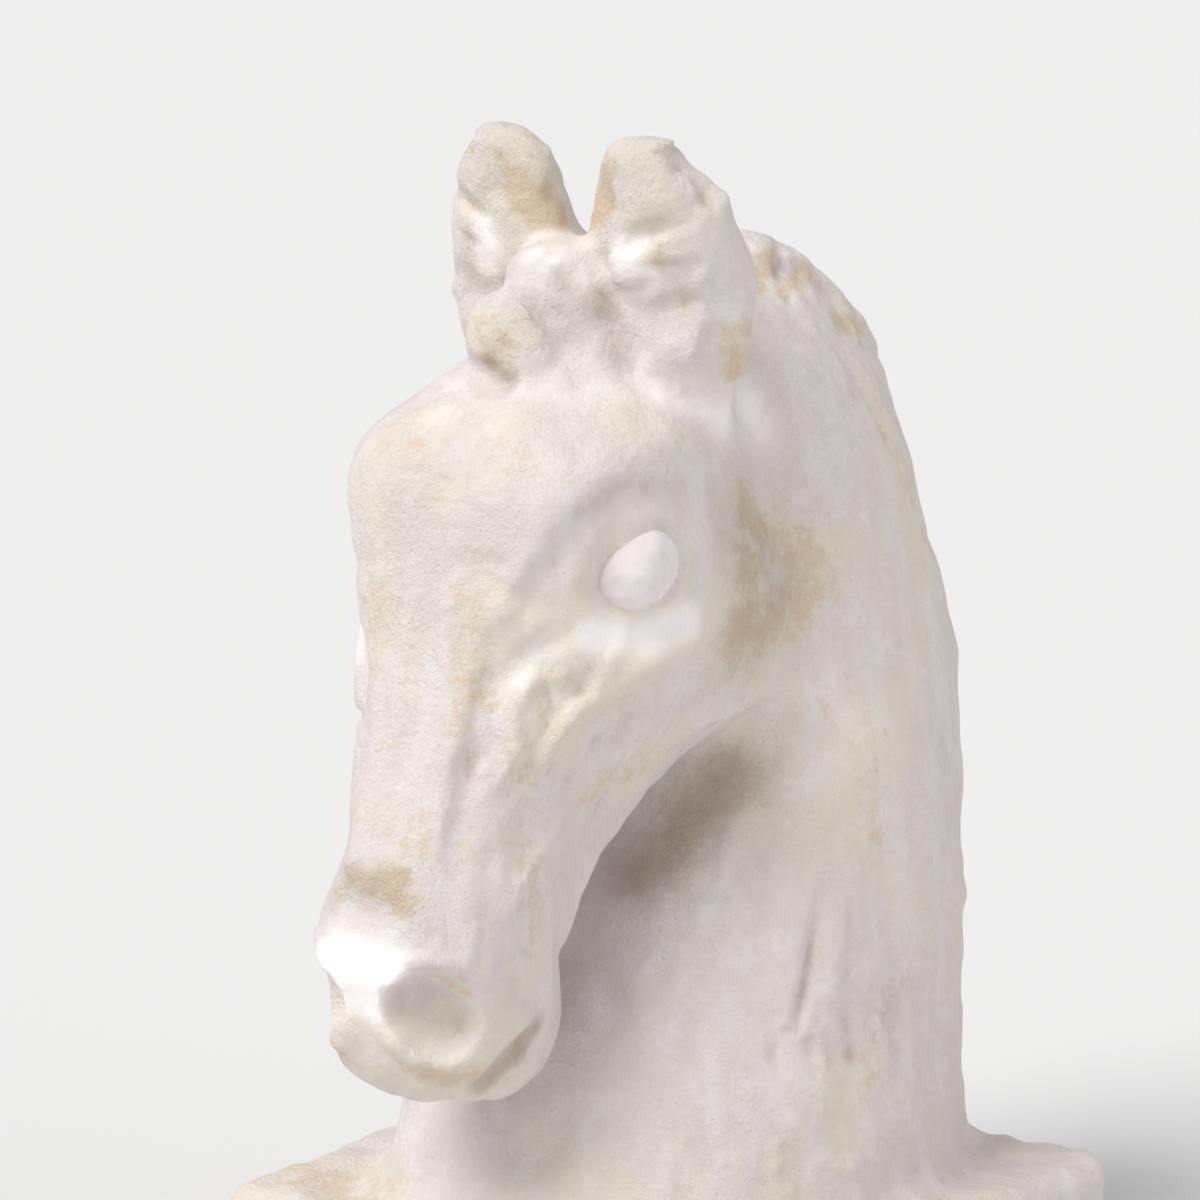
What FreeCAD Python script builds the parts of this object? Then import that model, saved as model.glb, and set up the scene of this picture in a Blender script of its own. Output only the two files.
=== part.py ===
"""Giant lawn chess knight: a hollow cast horse-head bust on a square plinth.

The bust is two bonded half shells of whitewashed casting compound on a hollow plinth.
Ears, forelock, mane and eyes are separate castings, bonded and dowelled in place.
Inside stand a steel post and a bent arm that carry the overhanging head.
A screwed base board closes the plinth, which holds sand poured in through a plugged socket.

Frame: millimetres, +Z up, origin at the middle of the underside, muzzle towards -Y,
the horse's left side towards +X.
"""

import FreeCAD, Part
import math
import os

from FreeCAD import Placement, Rotation, Vector

OUT_FOLDER = "parts"
OVERSHOOT = 1.0  # how far a cutter runs past the face that it opens

# name, value, what it is
DRIVING_DIMENSIONS = [
    ("PlinthSide", 330, "outer side of the square plinth"),
    ("PlinthTop", 85, "height of the plinth's top face"),
    ("PlinthWall", 16, "side wall of the plinth"),
    ("PlinthRoof", 14, "top wall of the plinth"),
    ("CornerRadius", 13, "upright edges of the plinth"),
    ("EdgeRadius", 7, "worn top edges of the plinth"),
    ("RoofHoleWidth", 124, "opening in the plinth's roof, side to side"),
    ("RoofHoleLength", 180, "opening in the plinth's roof, front to back"),
    ("RoofHoleBack", 6, "middle of that opening behind the plinth's middle"),
    ("RingHeight", 4, "rubber ring under the plinth's rim"),
    ("BoardHeight", 9, "underside of the base board"),
    ("BoardThick", 12, "base board"),
    ("BoardGap", 1, "gap between the board's edge and the plinth"),
    ("BlockSide", 34, "corner blocks that take the board's screws"),
    ("BlockHeight", 40, "corner blocks that take the board's screws"),
    ("NeckHalfWidth", 120, "half width of the neck's foot"),
    ("NeckHeight", 490, "crest of the neck above the plinth's top"),
    ("HeadLength", 333, "brow line to muzzle, along the face"),
    ("HeadDepth", 222, "face to the corner of the jaw"),
    ("HeadHalfWidth", 82, "half width across the eyes"),
    ("FaceTilt", 14, "lean of the face from upright, degrees"),
    ("FaceForward", 178, "start of the face line ahead of the plinth's middle"),
    ("FaceHeight", 430, "start of the face line above the plinth's top"),
    ("ShellWall", 11, "wall of the half shells"),
    ("FootThick", 26, "thickened foot of the half shells"),
    ("EarHeight", 120, "ear from its root to its tip"),
    ("EarHalfWidth", 39, "half width of the ear"),
    ("EarHalfThick", 25, "half thickness of the ear"),
    ("EarTurn", 20, "outward turn of the ear, degrees"),
    ("EarSpread", 49, "ear's root from the centre plane"),
    ("EarForward", 56, "ear's root ahead of the plinth's middle"),
    ("EarRoot", 430, "ear's root above the plinth's top"),
    ("EyeAlong", 63, "eye's middle along the face line"),
    ("EyeBehind", 66, "eye's middle behind the face line"),
    ("EyeAcross", 77, "eye's middle from the centre plane"),
    ("EyeTurn", 24, "forward turn of the eye, degrees"),
    ("EyeHalfLength", 23, "half length of the eye"),
    ("EyeHalfHeight", 19, "half height of the eye"),
    ("EyeHalfDepth", 13, "half depth of the eye"),
    ("EyeShank", 10, "diameter of the eye's shank"),
    ("SocketDepth", 13, "half depth of the hollow that cuts the socket"),
    ("SocketHalfLength", 36, "half length of the socket"),
    ("SocketHalfHeight", 30, "half height of the socket"),
    ("NostrilAlong", 286, "nostril along the face line"),
    ("NostrilBehind", 10, "nostril behind the face line"),
    ("NostrilAcross", 40, "nostril from the centre plane"),
    ("NostrilTurn", 40, "forward turn of the nostril, degrees"),
    ("NostrilDepth", 15, "half depth of the nostril's bowl"),
    ("NostrilHalfWidth", 24, "half width of the nostril's bowl"),
    ("NostrilHalfHeight", 22, "half height of the nostril's bowl"),
    ("ForelockForward", 88, "forelock's upper lobe ahead of the plinth's middle"),
    ("ForelockHeight", 472, "forelock's upper lobe above the plinth's top"),
    ("ForelockRadius", 28, "forelock's upper lobe"),
    ("ManeInset", 5, "depth of the mane's bed in the shells"),
    ("ManeFoot", 300, "lower end of the mane above the plinth's top"),
    ("TuftForward", 34, "tuft behind the ears, ahead of the plinth's middle"),
    ("TuftHeight", 468, "tuft behind the ears, above the plinth's top"),
    ("EyeGap", 1.2, "groove round the eye bead"),
    ("ManeHalfWidth", 17, "half width of the mane"),
    ("ManeRise", 8, "height of the mane over the crest of the neck"),
    ("DowelDiameter", 8, "stainless dowels of the ears, forelock and mane"),
    ("DowelLength", 60, "stainless dowels of the ears, forelock and mane"),
    ("PostDiameter", 42.4, "steel post"),
    ("PostWall", 2.6, "wall of the steel post"),
    ("PostBack", 52, "post's axis behind the plinth's middle"),
    ("PostTop", 400, "top of the post above the plinth's top"),
    ("ArmDiameter", 16, "bent steel arm"),
    ("ArmDrop", 30, "arm's axis below the top of the post"),
    ("ArmCorner", 72, "arm's bend ahead of the plinth's middle"),
    ("ArmBend", 45, "straight length that the arm's bend takes from each run"),
    ("ArmEndAlong", 178, "arm's end along the face line"),
    ("ArmEndBehind", 72, "arm's end behind the face line"),
    ("StripThick", 3, "glass mat strip over the seam, inside"),
    ("StripHalfWidth", 22, "half width of the strip over the seam"),
    ("MortarTop", 275, "top of the mortar in the muzzle above the plinth's top"),
    ("MortarDepth", 75, "depth of the mortar in the muzzle"),
    ("MortarForward", 60, "rear of the mortar ahead of the plinth's middle"),
    ("FlangeSide", 130, "flange plate under the post"),
    ("FlangeThick", 6, "flange plate under the post"),
    ("FlangePitch", 98, "spacing of the flange bolts"),
    ("FlangeBolt", 10, "thread diameter of the flange bolts"),
    ("GussetHeight", 45, "gussets between post and flange"),
    ("NeckBolt", 8, "thread diameter of the neck bolts"),
    ("NeckBoltSpread", 88, "neck bolts from the centre plane"),
    ("NeckBoltReach", 66, "outer neck bolts ahead of and behind the middle one"),
    ("InsertDiameter", 12, "brass inserts in the shells' foot"),
    ("InsertLength", 18, "brass inserts in the shells' foot"),
    ("BoardScrew", 5, "shank diameter of the board's screws"),
    ("BoardScrewLength", 38, "board's screws, overall"),
    ("SandDepth", 24, "depth of the sand ballast"),
    ("PlugDiameter", 34, "thread diameter of the filler plug"),
    ("PlugPlay", 0.1, "radial play of the filler plug in its socket"),
    ("PlugHeight", 47, "axis of the filler plug over the ground"),
    ("PlugHeadThick", 4, "head of the filler plug"),
    ("HeadGap", 0.05, "play between the plug's head and its seal"),
    ("CounterboreDepth", 9, "recess in the plinth's rear face round the plug"),
    ("CollarThick", 2.4, "collar of the plug's socket"),
    ("SocketWall", 4, "wall of the plug's socket"),
    ("SealThick", 2.5, "sealing washer under the plug's head"),
]

# Neck sections, from the foot to the poll, as shares of NeckHeight and NeckHalfWidth:
# front edge (y, z), back edge (y, z), half width, half width of the back's shoulder.
# y is a share of NeckHeight as well, so that the neck keeps its shape when it is scaled.
NECK_SECTIONS = [
    ((-0.335, 0.000), (0.335, 0.000), 1.04, 0.80),
    ((-0.285, 0.105), (0.342, 0.120), 1.02, 0.78),
    ((-0.215, 0.240), (0.358, 0.275), 0.97, 0.72),
    ((-0.130, 0.365), (0.378, 0.440), 0.90, 0.64),
    ((-0.070, 0.470), (0.380, 0.610), 0.80, 0.50),
    ((-0.060, 0.590), (0.338, 0.765), 0.70, 0.40),
    ((-0.080, 0.700), (0.265, 0.890), 0.60, 0.34),
    ((-0.120, 0.790), (0.120, 0.970), 0.48, 0.28),
    ((-0.170, 0.850), (-0.020, 0.980), 0.32, 0.20),
]

# Head sections, from the poll to the muzzle, square to the face line:
# place along the face (share of HeadLength), front and back (shares of HeadDepth),
# half width (share of HeadHalfWidth), then the front's and the back's shoulder widths
# as shares of that half width.
HEAD_SECTIONS = [
    (-0.165, 0.36, 0.66, 0.42, 0.62, 0.62),
    (-0.110, 0.28, 0.84, 0.64, 0.62, 0.62),
    (-0.045, 0.19, 0.93, 0.80, 0.66, 0.70),
    (0.040, 0.040, 0.98, 0.94, 0.70, 0.78),
    (0.130, -0.010, 1.01, 1.02, 0.70, 0.86),
    (0.215, -0.005, 1.09, 1.03, 0.66, 0.94),
    (0.315, 0.010, 1.12, 0.96, 0.60, 1.00),
    (0.395, 0.015, 1.01, 0.86, 0.58, 1.00),
    (0.475, 0.015, 0.84, 0.75, 0.60, 0.94),
    (0.575, 0.010, 0.70, 0.64, 0.64, 0.86),
    (0.690, -0.010, 0.595, 0.57, 0.70, 0.80),
    (0.800, -0.010, 0.570, 0.60, 0.74, 0.78),
    (0.890, 0.020, 0.600, 0.58, 0.74, 0.78),
    (0.960, 0.095, 0.580, 0.48, 0.70, 0.72),
    (1.005, 0.210, 0.490, 0.30, 0.62, 0.62),
]
HOLLOW_HEAD_SECTIONS = slice(1, 10)

# Ear sections from the root to the tip: height, half width, half thickness (shares).
EAR_SECTIONS = [
    (-0.16, 0.44, 0.62),
    (0.12, 0.78, 0.92),
    (0.38, 1.00, 1.00),
    (0.62, 0.96, 0.88),
    (0.84, 0.72, 0.66),
    (0.96, 0.44, 0.42),
    (1.00, 0.16, 0.16),
]
EAR_TIP_FORWARD = 0.20  # share of EarHeight
EAR_TIP_INWARD = 0.06  # share of EarHeight

doc = FreeCAD.newDocument("giant_knight")
sheet = doc.addObject("Spreadsheet::Sheet", "Dimensions")
for row, (alias, value, meaning) in enumerate(DRIVING_DIMENSIONS, start=1):
    sheet.set(f"A{row}", meaning)
    sheet.set(f"B{row}", str(value))
    sheet.setAlias(f"B{row}", alias)
doc.recompute()

NODES = []


def size(alias):
    """A driving dimension, in millimetres or degrees."""
    return float(sheet.get(alias))


# ---------------------------------------------------------------- document helpers
def bind(thing, **formulas):
    """Bind properties of a document object to spreadsheet formulas."""
    for name, formula in formulas.items():
        cell_formula = formula
        for alias, _, _ in DRIVING_DIMENSIONS:
            cell_formula = replace_word(cell_formula, alias)
        thing.setExpression(name.replace("__", "."), cell_formula)
    return thing


def replace_word(formula, alias):
    """Put the sheet's name before a whole word that is an alias."""
    words = formula.replace("(", " ( ").replace(")", " ) ").split()
    return " ".join("Dimensions." + word if word == alias else word for word in words)


def box(name, length, width, height, x, y, z):
    """A bound box: sizes and the least corner are formulas."""
    solid = doc.addObject("Part::Box", name)
    return bind(
        solid,
        Length=length,
        Width=width,
        Height=height,
        Placement__Base__x=x,
        Placement__Base__y=y,
        Placement__Base__z=z,
    )


def centred_box(name, length, width, z, height, y="0"):
    """A bound box with its middle on the centre plane."""
    return box(name, length, width, height, f"0 - ( {length} ) / 2", f"{y} - ( {width} ) / 2", z)


def cylinder(name, diameter, height, x, y, z):
    """A bound upright cylinder."""
    solid = doc.addObject("Part::Cylinder", name)
    return bind(
        solid,
        Radius=f"( {diameter} ) / 2",
        Height=height,
        Placement__Base__x=x,
        Placement__Base__y=y,
        Placement__Base__z=z,
    )


def lying_cylinder(name, diameter, height, x, y, z):
    """A bound cylinder whose axis points to the rear, +Y."""
    solid = cylinder(name, diameter, height, x, y, z)
    solid.Placement = Placement(Vector(0, 0, 0), Rotation(Vector(1, 0, 0), -90))
    return solid


def join(name, solids):
    """One fused document object."""
    fused = doc.addObject("Part::MultiFuse", name)
    fused.Shapes = solids
    fused.Refine = True
    return fused


def cut(name, base, tool):
    """Base less tool."""
    result = doc.addObject("Part::Cut", name)
    result.Base = base
    result.Tool = tool
    return result


def group(name, solids):
    """Several separate solids in one document object."""
    together = doc.addObject("Part::Compound", name)
    together.Links = solids
    return together


def shaped(name, shape):
    """A document object that holds a shape made with Part's own functions."""
    feature = doc.addObject("Part::Feature", name)
    feature.Shape = shape
    return feature


def node(thing, label):
    """Name a finished sub-part; its label names its file."""
    thing.Label = label
    NODES.append(thing)
    return thing


# ---------------------------------------------------------------- shape helpers
def closed_curve(points):
    """A smooth closed wire through points."""
    curve = Part.BSplineCurve()
    curve.interpolate(Points=points, PeriodicFlag=True)
    return Part.Wire([curve.toShape()])


def mirrored_outline(half):
    """A closed outline from its +X half, which starts and ends on the centre plane."""
    other = [Vector(-point.x, point.y, point.z) for point in reversed(half[1:-1])]
    return half + other


def inset(points, distance):
    """Points moved towards their middle."""
    middle = sum(points, Vector()) * (1.0 / len(points))
    moved = []
    for point in points:
        outward = point - middle
        moved.append(middle + outward * (1.0 - distance / outward.Length))
    return moved


def loft(outlines):
    """A smooth closed solid through outlines."""
    return Part.makeLoft([closed_curve(points) for points in outlines], True, False)


def ellipsoid(centre, radii, rotation=Rotation()):
    """A solid ellipsoid with its own axes turned by rotation."""
    ball = Part.makeSphere(1.0)
    stretch = FreeCAD.Matrix()
    stretch.scale(radii[0], radii[1], radii[2])
    ball = ball.transformGeometry(stretch)
    ball.Placement = Placement(centre, rotation)
    return ball


def rod(start, end, diameter):
    """A round rod between two points."""
    axis = end - start
    return Part.makeCylinder(diameter / 2, axis.Length, start, axis)


def mirror_x(shape):
    """The same shape on the horse's other side."""
    return shape.mirror(Vector(0, 0, 0), Vector(1, 0, 0))


# ---------------------------------------------------------------- the horse's outlines
def neck_outline(front, back, width_share, shoulder_share):
    """One neck section as a ring of points, from its front edge round by +X."""
    height = size("NeckHeight")
    base = Vector(0, 0, size("PlinthTop"))
    first = base + Vector(0, front[0], front[1]) * height
    last = base + Vector(0, back[0], back[1]) * height
    across = Vector(size("NeckHalfWidth") * width_share, 0, 0)
    along = last - first
    half = [
        first,
        first + across * 0.68 + along * 0.09,
        first + across + along * 0.42,
        first + across * (0.5 + 0.5 * shoulder_share) + along * 0.78,
        first + across * shoulder_share * 0.72 + along * 0.955,
        last,
    ]
    return mirrored_outline(half)


def face_point(along, depth, across=0.0):
    """A point given along the face line, behind it and to the side, in millimetres."""
    tilt = math.radians(size("FaceTilt"))
    down = Vector(0, -math.sin(tilt), -math.cos(tilt))
    rearward = Vector(0, math.cos(tilt), -math.sin(tilt))
    start = Vector(0, -size("FaceForward"), size("PlinthTop") + size("FaceHeight"))
    return start + down * along + rearward * depth + Vector(across, 0, 0)


def head_outline(along, front, back, width, front_share, back_share):
    """One head section as a ring of points, from its front edge round by +X."""
    place = along * size("HeadLength")
    front_depth = front * size("HeadDepth")
    back_depth = back * size("HeadDepth")
    reach = back_depth - front_depth
    half_width = width * size("HeadHalfWidth")
    half = [
        face_point(place, front_depth),
        face_point(place, front_depth + 0.06 * reach, half_width * front_share),
        face_point(place, front_depth + 0.30 * reach, half_width),
        face_point(place, front_depth + 0.68 * reach, half_width * (0.45 + 0.55 * back_share)),
        face_point(place, front_depth + 0.94 * reach, half_width * back_share * 0.68),
        face_point(place, back_depth),
    ]
    return mirrored_outline(half)


def neck_loft(shrink=0.0):
    """The neck, with every section moved inwards by shrink."""
    outlines = [neck_outline(*section) for section in NECK_SECTIONS]
    return loft([inset(outline, shrink) for outline in outlines])


def bust_core():
    """The whole head and neck, before eyes and nostrils."""
    head = loft([head_outline(*section) for section in HEAD_SECTIONS])
    return neck_loft().fuse(head)


def bust_hollow(wall):
    """The space inside the head and neck, at a given distance from the outside."""
    floor_height = size("PlinthTop") + size("FootThick")
    neck = neck_loft(wall).cut(wide_box(floor_height - 500, floor_height))
    head_sections = HEAD_SECTIONS[HOLLOW_HEAD_SECTIONS]
    head = loft([inset(head_outline(*section), wall) for section in head_sections])
    return neck.fuse(head).cut(both_sides(eye_ball(size("ShellWall") * 1.6)))


def wide_box(low, high, half_width=1000.0, front=-1000.0, rear=1000.0):
    """A block round the centre plane between two heights."""
    corner = Vector(-half_width, front, low)
    return Part.makeBox(2 * half_width, rear - front, high - low, corner)


def both_sides(shape):
    """A shape with its mirror image."""
    return Part.makeCompound([shape, mirror_x(shape)])


# ---------------------------------------------------------------- eyes and nostrils
def outward_turn(alias):
    """Rotation that points a local +X outwards and forwards by an angle from the sheet."""
    return Rotation(Vector(0, 0, 1), -size(alias))


def eye_middle():
    """Middle of the left eye's ball."""
    return face_point(size("EyeAlong"), size("EyeBehind"), size("EyeAcross"))


def eye_ball(growth=0.0):
    """The left eye's ball, or the pocket round it."""
    radii = (
        size("EyeHalfDepth") + growth,
        size("EyeHalfLength") + growth,
        size("EyeHalfHeight") + growth,
    )
    return ellipsoid(eye_middle(), radii, outward_turn("EyeTurn"))


def eye_shank():
    """The pin that holds the left eye in its shell."""
    middle = eye_middle()
    inwards = outward_turn("EyeTurn").multVec(Vector(-1, 0, 0))
    reach = size("EyeHalfDepth") + size("ShellWall")
    return rod(middle, middle + inwards * reach, size("EyeShank"))


def eye_socket():
    """The shallow hollow round the left eye."""
    outwards = outward_turn("EyeTurn").multVec(Vector(1, 0, 0))
    radii = (size("SocketDepth"), size("SocketHalfLength"), size("SocketHalfHeight"))
    return ellipsoid(eye_middle() + outwards * size("EyeHalfDepth"), radii, outward_turn("EyeTurn"))


def nostril():
    """The left nostril's bowl."""
    middle = face_point(size("NostrilAlong"), size("NostrilBehind"), size("NostrilAcross"))
    radii = (size("NostrilDepth"), size("NostrilHalfWidth"), size("NostrilHalfHeight"))
    return ellipsoid(middle, radii, outward_turn("NostrilTurn"))


# ---------------------------------------------------------------- ears, forelock and mane
def ear_blank():
    """The left ear, with its root still inside the skull."""
    turn = math.radians(size("EarTurn"))
    facing = Vector(math.sin(turn), -math.cos(turn), 0)
    across = Vector(math.cos(turn), math.sin(turn), 0)
    lean = Vector(-EAR_TIP_INWARD, -EAR_TIP_FORWARD, 0)
    outlines = []
    for share, width, thickness in EAR_SECTIONS:
        middle = ear_root() + (Vector(0, 0, share) + lean * share * abs(share)) * size("EarHeight")
        wide = across * size("EarHalfWidth") * width
        thick = facing * size("EarHalfThick") * thickness
        angles = [math.radians(45 * step) for step in range(8)]
        outlines.append([middle + wide * math.cos(a) + thick * math.sin(a) for a in angles])
    scoop_middle = ear_root() + facing * size("EarHalfThick") * 1.5 + Vector(0, 0, 0.45 * size("EarHeight"))
    scoop_radii = (
        0.66 * size("EarHalfWidth"),
        0.85 * size("EarHalfThick"),
        0.36 * size("EarHeight"),
    )
    scoop = ellipsoid(scoop_middle, scoop_radii, Rotation(Vector(0, 0, 1), size("EarTurn")))
    return loft(outlines).cut(scoop)


def ear_root():
    """Middle of the left ear's root."""
    height = size("PlinthTop") + size("EarRoot")
    return Vector(size("EarSpread"), -size("EarForward"), height)


def upright_dowel(middle):
    """A dowel through the joint under an ear."""
    half = Vector(0, 0, size("DowelLength") / 2)
    return rod(middle - half, middle + half, size("DowelDiameter"))


def forelock_middle():
    """Middle of the forelock's upper lobe."""
    height = size("PlinthTop") + size("ForelockHeight")
    return Vector(0, -size("ForelockForward"), height)


def forelock_blank():
    """Two overlapping lobes of hair between the ears."""
    radius = size("ForelockRadius")
    upper = ellipsoid(forelock_middle(), (radius * 1.05, radius * 1.05, radius * 0.95))
    lower_middle = forelock_middle() + Vector(-6, -32, -20)
    lower = ellipsoid(lower_middle, (radius * 0.85, radius * 0.75, radius * 0.95))
    return upper.fuse(lower)


def forelock_dowel():
    """A dowel that slopes back from the forelock into the skull."""
    slope = Vector(0, 0.6, -0.8)
    return rod(forelock_middle(), forelock_middle() + slope * size("DowelLength"), size("DowelDiameter"))


def mane_blank():
    """A raised strip along the crest, let into the neck, and the tuft behind the ears."""
    raised = neck_loft(-size("ManeRise")).cut(neck_loft(size("ManeInset")))
    low = size("PlinthTop") + size("ManeFoot")
    strip = raised.common(wide_box(low, low + 500, size("ManeHalfWidth"), 0.0))
    tuft_middle = Vector(0, -size("TuftForward"), size("PlinthTop") + size("TuftHeight"))
    tuft = ellipsoid(tuft_middle, (size("ManeHalfWidth") * 1.4, 62, 26))
    return strip.fuse(tuft)


# ---------------------------------------------------------------- armature outlines
def arm_path():
    """The bent arm's centre line: level out of the post, then down into the head."""
    height = size("PlinthTop") + size("PostTop") - size("ArmDrop")
    start = Vector(0, size("PostBack"), height)
    corner = Vector(0, -size("ArmCorner"), height)
    end = face_point(size("ArmEndAlong"), size("ArmEndBehind"))
    before = corner + (start - corner).normalize() * size("ArmBend")
    after = corner + (end - corner).normalize() * size("ArmBend")
    inward = (start - corner).normalize() + (end - corner).normalize()
    half_turn = math.acos((start - corner).normalize() * inward.normalize())
    bend_radius = size("ArmBend") * math.tan(half_turn)
    bend_middle = corner + inward * (size("ArmBend") / math.cos(half_turn) - bend_radius)
    edges = [
        Part.LineSegment(start, before).toShape(),
        Part.Arc(before, bend_middle, after).toShape(),
        Part.LineSegment(after, end).toShape(),
    ]
    return Part.Wire(edges)


def arm_blank():
    """The bent arm, before its end is coped to the post."""
    path = arm_path()
    profile = Part.Wire([Part.makeCircle(size("ArmDiameter") / 2, path.Vertexes[0].Point, Vector(0, 1, 0))])
    return path.makePipeShell([profile], True, True)


def gusset(angle):
    """One triangular gusset between post and flange, in the post's radial plane."""
    foot = Vector(0, size("PostBack"), size("BoardHeight") + size("BoardThick") + size("FlangeThick"))
    radius = size("PostDiameter") / 2
    outer = size("FlangeSide") / 2 - 4
    tip = radius + 6
    rise = size("GussetHeight")
    corners = [(radius - 2, 0), (outer, 0), (outer, 6), (tip, rise), (radius - 2, rise)]
    points = [Vector(reach, -2.5, height) for reach, height in corners]
    plate = Part.Face(Part.makePolygon(points + points[:1])).extrude(Vector(0, 5, 0))
    plate.Placement = Placement(foot, Rotation(Vector(0, 0, 1), angle))
    return plate


# ---------------------------------------------------------------- the bust and its castings
def build_bust():
    """Half shells, seam strip and every casting set on them."""
    core = symmetric(bust_core())
    hollow = symmetric(bust_hollow(size("ShellWall")))
    mane = symmetric(mane_blank()).cut(hollow)
    ears = both_sides(ear_blank())
    dowels = both_sides(upright_dowel(ear_root()))
    slope_dowel = forelock_dowel()
    shanks = both_sides(eye_shank())
    body = core.cut(hollow).cut(mane)
    for cutter in (eye_socket(), eye_ball(size("EyeGap")), nostril()):
        body = body.cut(both_sides(cutter))
    for cutter in (foot_opening(), dowels, slope_dowel, shanks, insert_holes()):
        body = body.cut(cutter)
    left = body.common(side_block())
    node(shaped("LeftShell", left), "left_shell")
    node(shaped("RightShell", mirror_x(left)), "right_shell")

    ear = ear_blank().cut(core).cut(mane).cut(dowels)
    node(shaped("LeftEar", ear), "left_ear")
    node(shaped("RightEar", mirror_x(ear)), "right_ear")
    forelock = forelock_blank().cut(core).cut(mane).cut(ears).cut(slope_dowel)
    node(shaped("Forelock", forelock), "forelock")
    node(shaped("Mane", mane.cut(dowels).cut(slope_dowel)), "mane")
    eye = eye_ball().fuse(eye_shank()).removeSplitter()
    node(shaped("LeftEye", eye), "left_eye")
    node(shaped("RightEye", mirror_x(eye)), "right_eye")
    node(shaped("EarDowels", dowels), "ear_dowels")
    node(shaped("ForelockDowel", slope_dowel), "forelock_dowel")

    strip = hollow.cut(symmetric(bust_hollow(size("ShellWall") + size("StripThick"))))
    low = size("PlinthTop") + size("FootThick") + 5
    strip = strip.common(wide_box(low, low + 500, size("StripHalfWidth")))
    strip = strip.cut(dowels).cut(slope_dowel)
    node(shaped("SeamStrip", strip), "seam_strip")

    arm = arm_blank().cut(post_cylinder())
    node(shaped("ArmatureArm", arm), "armature_arm")
    top = size("PlinthTop") + size("MortarTop")
    block = wide_box(top - size("MortarDepth"), top, 200, -400, -size("MortarForward"))
    mortar = hollow.common(block).cut(strip).cut(arm)
    node(shaped("HeadMortar", mortar), "head_mortar")


def symmetric(shape):
    """The shape's left half with its exact mirror image, as one solid."""
    left = shape.common(side_block())
    return left.fuse(mirror_x(left))


def side_block():
    """Everything on the horse's left of the centre plane."""
    return Part.makeBox(500, 1000, 1000, Vector(0, -500, 0))


def foot_opening():
    """The opening through the shells' foot, over the plinth's own."""
    width = size("RoofHoleWidth")
    length = size("RoofHoleLength")
    low = size("PlinthTop") - OVERSHOOT
    height = size("FootThick") + 2 * OVERSHOOT
    middle = size("RoofHoleBack")
    return Part.makeBox(width, length, height, Vector(-width / 2, middle - length / 2, low))


def neck_bolt_places():
    """The neck bolts' axes, in plan."""
    across = size("NeckBoltSpread")
    middle = size("RoofHoleBack")
    rows = [middle - size("NeckBoltReach"), middle, middle + size("NeckBoltReach")]
    return [Vector(side * across, y, 0) for side in (-1, 1) for y in rows]


def at_places(make, places):
    """Separate copies of a shape at several places."""
    return Part.makeCompound([make(place) for place in places])


def insert_holes():
    """Holes in the shells' foot for the brass inserts."""
    radius = size("InsertDiameter") / 2
    length = size("InsertLength")
    start = Vector(0, 0, size("PlinthTop"))
    return at_places(lambda p: Part.makeCylinder(radius, length, p + start), neck_bolt_places())


def post_cylinder():
    """The outside of the post, as a solid."""
    low = size("BoardHeight") + size("BoardThick") + size("FlangeThick")
    high = size("PlinthTop") + size("PostTop")
    return Part.makeCylinder(size("PostDiameter") / 2, high - low, Vector(0, size("PostBack"), low))


def ring(outer, inner, height, place):
    """A plain washer shape."""
    solid = Part.makeCylinder(outer / 2, height, place)
    return solid.cut(Part.makeCylinder(inner / 2, height, place))


def hexagon(across_flats, height, place):
    """A hexagonal block."""
    radius = across_flats / math.sqrt(3)
    corners = []
    for step in range(6):
        angle = math.radians(60 * step)
        corners.append(place + Vector(radius * math.cos(angle), radius * math.sin(angle), 0))
    return Part.Face(Part.makePolygon(corners + corners[:1])).extrude(Vector(0, 0, height))


# ---------------------------------------------------------------- fasteners
def build_neck_fasteners():
    """Bolts up through the plinth's roof into inserts in the shells' foot."""
    places = neck_bolt_places()
    thread = size("NeckBolt")
    underside = size("PlinthTop") - size("PlinthRoof")
    washer = 2.0
    head = 5.5
    top = size("PlinthTop") + size("InsertLength") - 2

    def bolt(place):
        seat = place + Vector(0, 0, underside - washer)
        shank = Part.makeCylinder(thread / 2, top - underside + washer, seat)
        return hexagon(13, head, seat - Vector(0, 0, head)).fuse(shank).removeSplitter()

    def flat_washer(place):
        return ring(20, thread, washer, place + Vector(0, 0, underside - washer))

    def insert(place):
        start = place + Vector(0, 0, size("PlinthTop"))
        return ring(size("InsertDiameter"), thread, size("InsertLength"), start)

    node(shaped("NeckBolts", at_places(bolt, places)), "neck_bolts")
    node(shaped("NeckWashers", at_places(flat_washer, places)), "neck_washers")
    node(shaped("FootInserts", at_places(insert, places)), "foot_inserts")


def flange_bolt_places():
    """The flange bolts' axes, in plan."""
    half = size("FlangePitch") / 2
    middle = Vector(0, size("PostBack"), 0)
    return [middle + Vector(x * half, y * half, 0) for x in (-1, 1) for y in (-1, 1)]


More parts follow.
